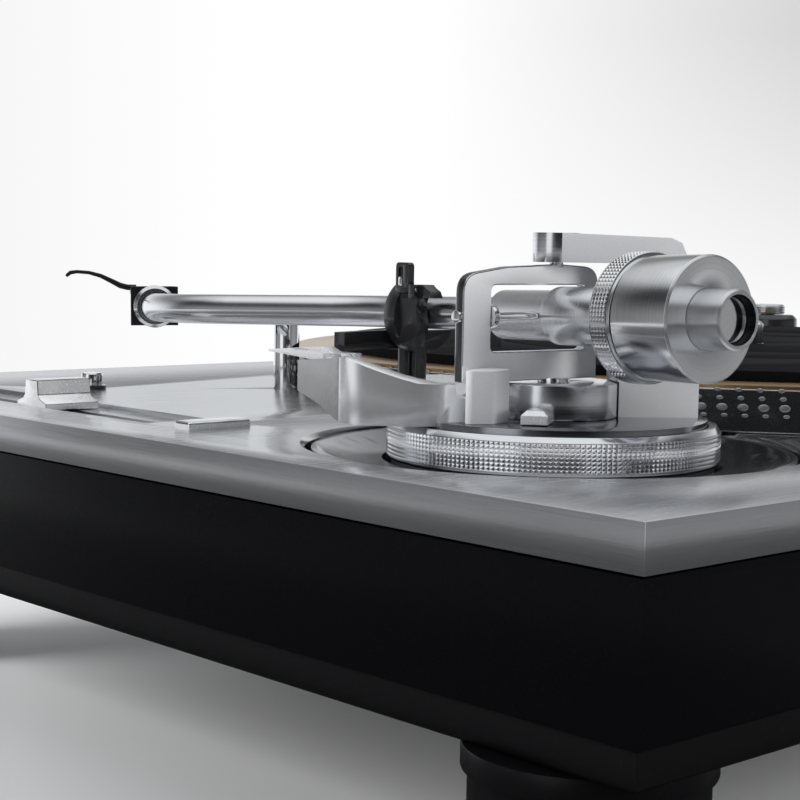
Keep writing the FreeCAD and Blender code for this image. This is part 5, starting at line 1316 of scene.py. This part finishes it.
@dataclass
class RearPanel(Assembly):
    """Jacks, ground post, mains inlet and hinge sockets."""

    def build(self) -> None:
        """Builds and dresses them all."""
        self.soften("phono_jacks", "gold_plate", "chassis", 0.25 * MM)
        self.soften("ground_post", "gold_plate", "ground", 0.25 * MM)
        self.soften("mains_inlet", "socket_black", "chassis", 0.3 * MM)
        self.soften("cover_hinge_sockets", "socket_black", "chassis", 0.3 * MM)


@dataclass(frozen=True)
class Lamp:
    """A large soft lamp that is aimed at the tonearm's end of the turntable."""

    name: str
    place: tuple[float, float, float]
    size: tuple[float, float]
    power: float
    target: tuple[float, float, float] = (0.1, 0.05, 0.09)

    def build(self) -> None:
        """Makes the lamp, which mirrors nowhere."""
        data = bpy.data.lights.new(self.name, "AREA")
        data.shape = "RECTANGLE"
        data.size, data.size_y = self.size
        data.energy = self.power
        lamp = bpy.data.objects.new(self.name, data)
        lamp.location = self.place
        way = Vector(self.target) - Vector(self.place)
        lamp.rotation_euler = way.to_track_quat("-Z", "Y").to_euler()
        lamp.visible_glossy = False
        bpy.context.scene.collection.objects.link(lamp)


@dataclass
class Studio:
    """The floor, the lights, the backdrop and the camera."""

    lens: float = 78.27
    camera_place: Vector = field(
        default_factory=lambda: Vector((467.6 * MM, 385.5 * MM, 137.8 * MM)))
    yaw: float = math.radians(227.79)
    pitch: float = math.radians(5.07)
    roll: float = math.radians(-0.96)
    floor_radius: float = 0.95
    floor_steps: int = 96
    floor_gloss: float = 0.3
    soft_light: float = 0.4
    round_levels: tuple[tuple[float, float], ...] = (
        (0.40, 0.035), (0.84, 1.0), (0.50, 0.05), (0.58, 0.08), (0.65, 0.2), (0.74, 0.75))
    corner_loss: float = 0.34
    left_loss: float = 0.08
    left_fill: float = 0.28
    right_fill: float = 0.3
    key_heading: float = math.radians(5.0)
    key_light: float = 0.9
    roof_light: float = 0.85
    low_light: float = 0.6
    lamps: tuple[Lamp, ...] = (
        Lamp("overhead", (-0.1, 0.1, 1.3), (1.2, 0.9), 7.0),
        Lamp("behind", (-1.1, -1.1, 0.9), (1.6, 0.7), 8.0),
        Lamp("left", (1.3, -0.6, 0.6), (0.6, 1.0), 24.0),
        Lamp("right", (-0.3, 1.4, 0.5), (0.5, 0.8), 16.0))
    up_levels: tuple[tuple[float, float], ...] = (
        (0.0, 1.0), (1.0, 0.2), (0.09, 0.92), (0.18, 0.74), (0.27, 0.5), (0.42, 0.2),
        (0.54, 0.24), (0.66, 0.6), (0.78, 0.5), (0.9, 0.24))

    def build(self) -> None:
        """Sets them all up."""
        self.camera()
        self.floor()
        self.world()
        for lamp in self.lamps:
            lamp.build()

    def camera(self) -> None:
        """The camera, at the photograph's place and angle."""
        data = bpy.data.cameras.new("view")
        data.lens = self.lens
        data.sensor_width = 36.0
        data.clip_start = 0.01
        forward = Vector((math.cos(self.yaw) * math.cos(self.pitch),
                          math.sin(self.yaw) * math.cos(self.pitch), -math.sin(self.pitch)))
        right = forward.cross(UP).normalized()
        down = forward.cross(right)
        turned = right * math.cos(self.roll) + down * math.sin(self.roll)
        fallen = down * math.cos(self.roll) - right * math.sin(self.roll)
        matrix = Matrix((turned, -fallen, -forward)).transposed().to_4x4()
        matrix.translation = self.camera_place
        camera = bpy.data.objects.new("view", data)
        camera.matrix_world = matrix
        bpy.context.scene.collection.objects.link(camera)
        bpy.context.scene.camera = camera

    def floor(self) -> None:
        """A pale round floor that ends behind the deck and fades to white there, with painted
        shade: darker towards the camera, and darker near the deck in what shiny faces mirror.
        """
        mesh = bpy.data.meshes.new("studio_floor")
        turns = [2 * math.pi * step / self.floor_steps for step in range(self.floor_steps)]
        corners = [(self.floor_radius * math.cos(turn), self.floor_radius * math.sin(turn), 0.0)
                   for turn in turns]
        mesh.from_pydata(corners, [], [tuple(range(len(corners)))])
        floor = bpy.data.objects.new("studio_floor", mesh)
        bpy.context.scene.collection.objects.link(floor)
        material = bpy.data.materials.new("studio_floor")
        material.use_nodes = True
        tree = material.node_tree
        graph = Graph(tree)
        place = place_coordinates(graph)
        # Painted shade: the floor darkens towards the camera.
        near = graph.vector("DOT_PRODUCT", place, (-math.cos(self.yaw), -math.sin(self.yaw), 0.0))
        pale = graph.spread(near.outputs["Value"], 0.8, 0.24, 0.05, 0.5)
        # Painted shade in reflections: shiny faces see the floor dark near the deck and paler at
        # its rim.
        mirrored = graph.add("ShaderNodeLightPath").outputs["Is Glossy Ray"]
        far = graph.vector("LENGTH", place).outputs["Value"]
        dim = graph.spread(far, 0.1, 0.9, 0.62, 0.92)
        scale = graph.add("ShaderNodeMix", {0: mirrored, 2: 1.0, 3: dim}).outputs[0]
        shade = graph.maths("MULTIPLY", pale, scale)
        colour = graph.add("ShaderNodeCombineColor", {"Red": shade, "Green": shade, "Blue": shade})
        shader = tree.nodes["Principled BSDF"]
        graph.feed(shader, "Base Color", colour.outputs[0])
        graph.feed(shader, "Roughness", self.floor_gloss)
        mesh.materials.append(material)

    def backdrop(self, graph: Graph, way: bpy.types.NodeSocket) -> bpy.types.NodeSocket:
        """What the camera sees behind the turntable: white, a little grey up on the right."""
        right = (math.sin(self.yaw), -math.cos(self.yaw), 0.0)
        aside = graph.vector("DOT_PRODUCT", way, right).outputs["Value"]
        up = graph.vector("DOT_PRODUCT", way, UP).outputs["Value"]
        corner = graph.maths("MULTIPLY", graph.spread(aside, 0.0, 1.0, 0.02, 0.23),
                             graph.spread(up, 0.1, 1.0, -0.04, 0.12))
        far_left = graph.spread(aside, self.left_loss, 0.0, -0.24, -0.1)
        loss = graph.maths("ADD", graph.maths("MULTIPLY", corner, self.corner_loss), far_left)
        return graph.maths("SUBTRACT", 1.0, loss)

    def surroundings(self, graph: Graph, way: bpy.types.NodeSocket) -> bpy.types.NodeSocket:
        """What shiny faces mirror: bright low behind the deck, dark on the camera's side."""
        flat = graph.vector("NORMALIZE", graph.vector("MULTIPLY", way, (1.0, 1.0, 0.0)).outputs[0])
        ahead = (math.cos(self.yaw), math.sin(self.yaw), 0.0)
        facing = graph.vector("DOT_PRODUCT", flat.outputs[0], ahead).outputs["Value"]
        whole = graph.spread(facing, 0.0, 1.0, -1.0, 1.0)
        round_share = self.curve(graph, whole, self.round_levels)
        left = (-math.sin(self.yaw), math.cos(self.yaw), 0.0)
        aside = graph.vector("DOT_PRODUCT", flat.outputs[0], left).outputs["Value"]
        for fill in (graph.spread(aside, 0.0, self.left_fill, 0.0, 0.7),
                     graph.spread(aside, self.right_fill, 0.0, -0.85, -0.3)):
            behind = graph.spread(facing, 1.0, 0.45, -0.1, 0.35)
            round_share = graph.maths("MAXIMUM", round_share,
                                      graph.maths("MULTIPLY", fill, behind))
        up = graph.vector("DOT_PRODUCT", way, UP).outputs["Value"]
        up_share = self.curve(graph, graph.maths("MAXIMUM", up, 0.0), self.up_levels)
        level = graph.maths("MULTIPLY", round_share, up_share)
        roof = graph.spread(up, 0.0, self.roof_light, 0.58, 0.78)
        key = (math.cos(self.key_heading), math.sin(self.key_heading), 0.0)
        near_key = graph.vector("DOT_PRODUCT", flat.outputs[0], key).outputs["Value"]
        strip = graph.maths("MULTIPLY", graph.spread(near_key, 0.0, self.key_light, 0.95, 0.985),
                            graph.spread(up, 1.0, 0.0, 0.6, 0.75))
        below = graph.spread(up, self.low_light, 0.0, -0.2, -0.05)
        level = graph.maths("MAXIMUM", level, below)
        return graph.maths("MAXIMUM", graph.maths("MAXIMUM", level, roof), strip)

    def curve(self, graph: Graph, value: bpy.types.NodeSocket,
              levels: Sequence[tuple[float, float]]) -> bpy.types.NodeSocket:
        """Reads a value of 0..1 from a grey ramp through the given levels."""
        node = graph.add("ShaderNodeValToRGB", {"Fac": value})
        ramp = node.color_ramp
        for number, (position, level) in enumerate(levels):
            if number < 2:
                stop = ramp.elements[number]
                stop.position = position
            else:
                stop = ramp.elements.new(position)
            stop.color = (level, level, level, 1.0)
        return node.outputs[0]

    def world(self) -> None:
        """The white backdrop, the mirrored surroundings and a soft even light."""
        world = bpy.data.worlds.new("studio")
        bpy.context.scene.world = world
        world.use_nodes = True
        tree = world.node_tree
        tree.nodes.clear()
        graph = Graph(tree)
        way = graph.add("ShaderNodeTexCoord").outputs["Generated"]
        path = graph.add("ShaderNodeLightPath")
        seen = graph.maths("MAXIMUM", path.outputs["Is Camera Ray"],
                           path.outputs["Is Transmission Ray"])
        soft = graph.add("ShaderNodeBackground", {"Color": (0.94, 0.96, 1.0, 1.0),
                                                  "Strength": self.soft_light})
        mirrored = graph.add("ShaderNodeBackground", {
            "Color": (0.96, 0.98, 1.0, 1.0), "Strength": self.surroundings(graph, way)})
        white = graph.add("ShaderNodeBackground", {
            "Color": (1.0, 1.0, 1.0, 1.0), "Strength": self.backdrop(graph, way)})
        lit = graph.add("ShaderNodeMixShader", {0: path.outputs["Is Glossy Ray"],
                                                1: soft.outputs[0], 2: mirrored.outputs[0]})
        mixed = graph.add("ShaderNodeMixShader", {0: seen, 1: lit.outputs[0],
                                                  2: white.outputs[0]})
        graph.add("ShaderNodeOutputWorld", {"Surface": mixed.outputs[0]})


def main() -> None:
    """Builds the turntable's looks and the studio round it."""
    logging.basicConfig(level=logging.INFO, format="%(name)s: %(message)s")
    bpy.context.scene.view_settings.view_transform = "Standard"
    finishes = Finishes()
    for assembly in (Cabinet, Platter, Controls, ArmBase, Gimbal, Tonearm, RearPanel):
        assembly(finishes).build()
    Studio().build()


if __name__ == "__main__":
    main()
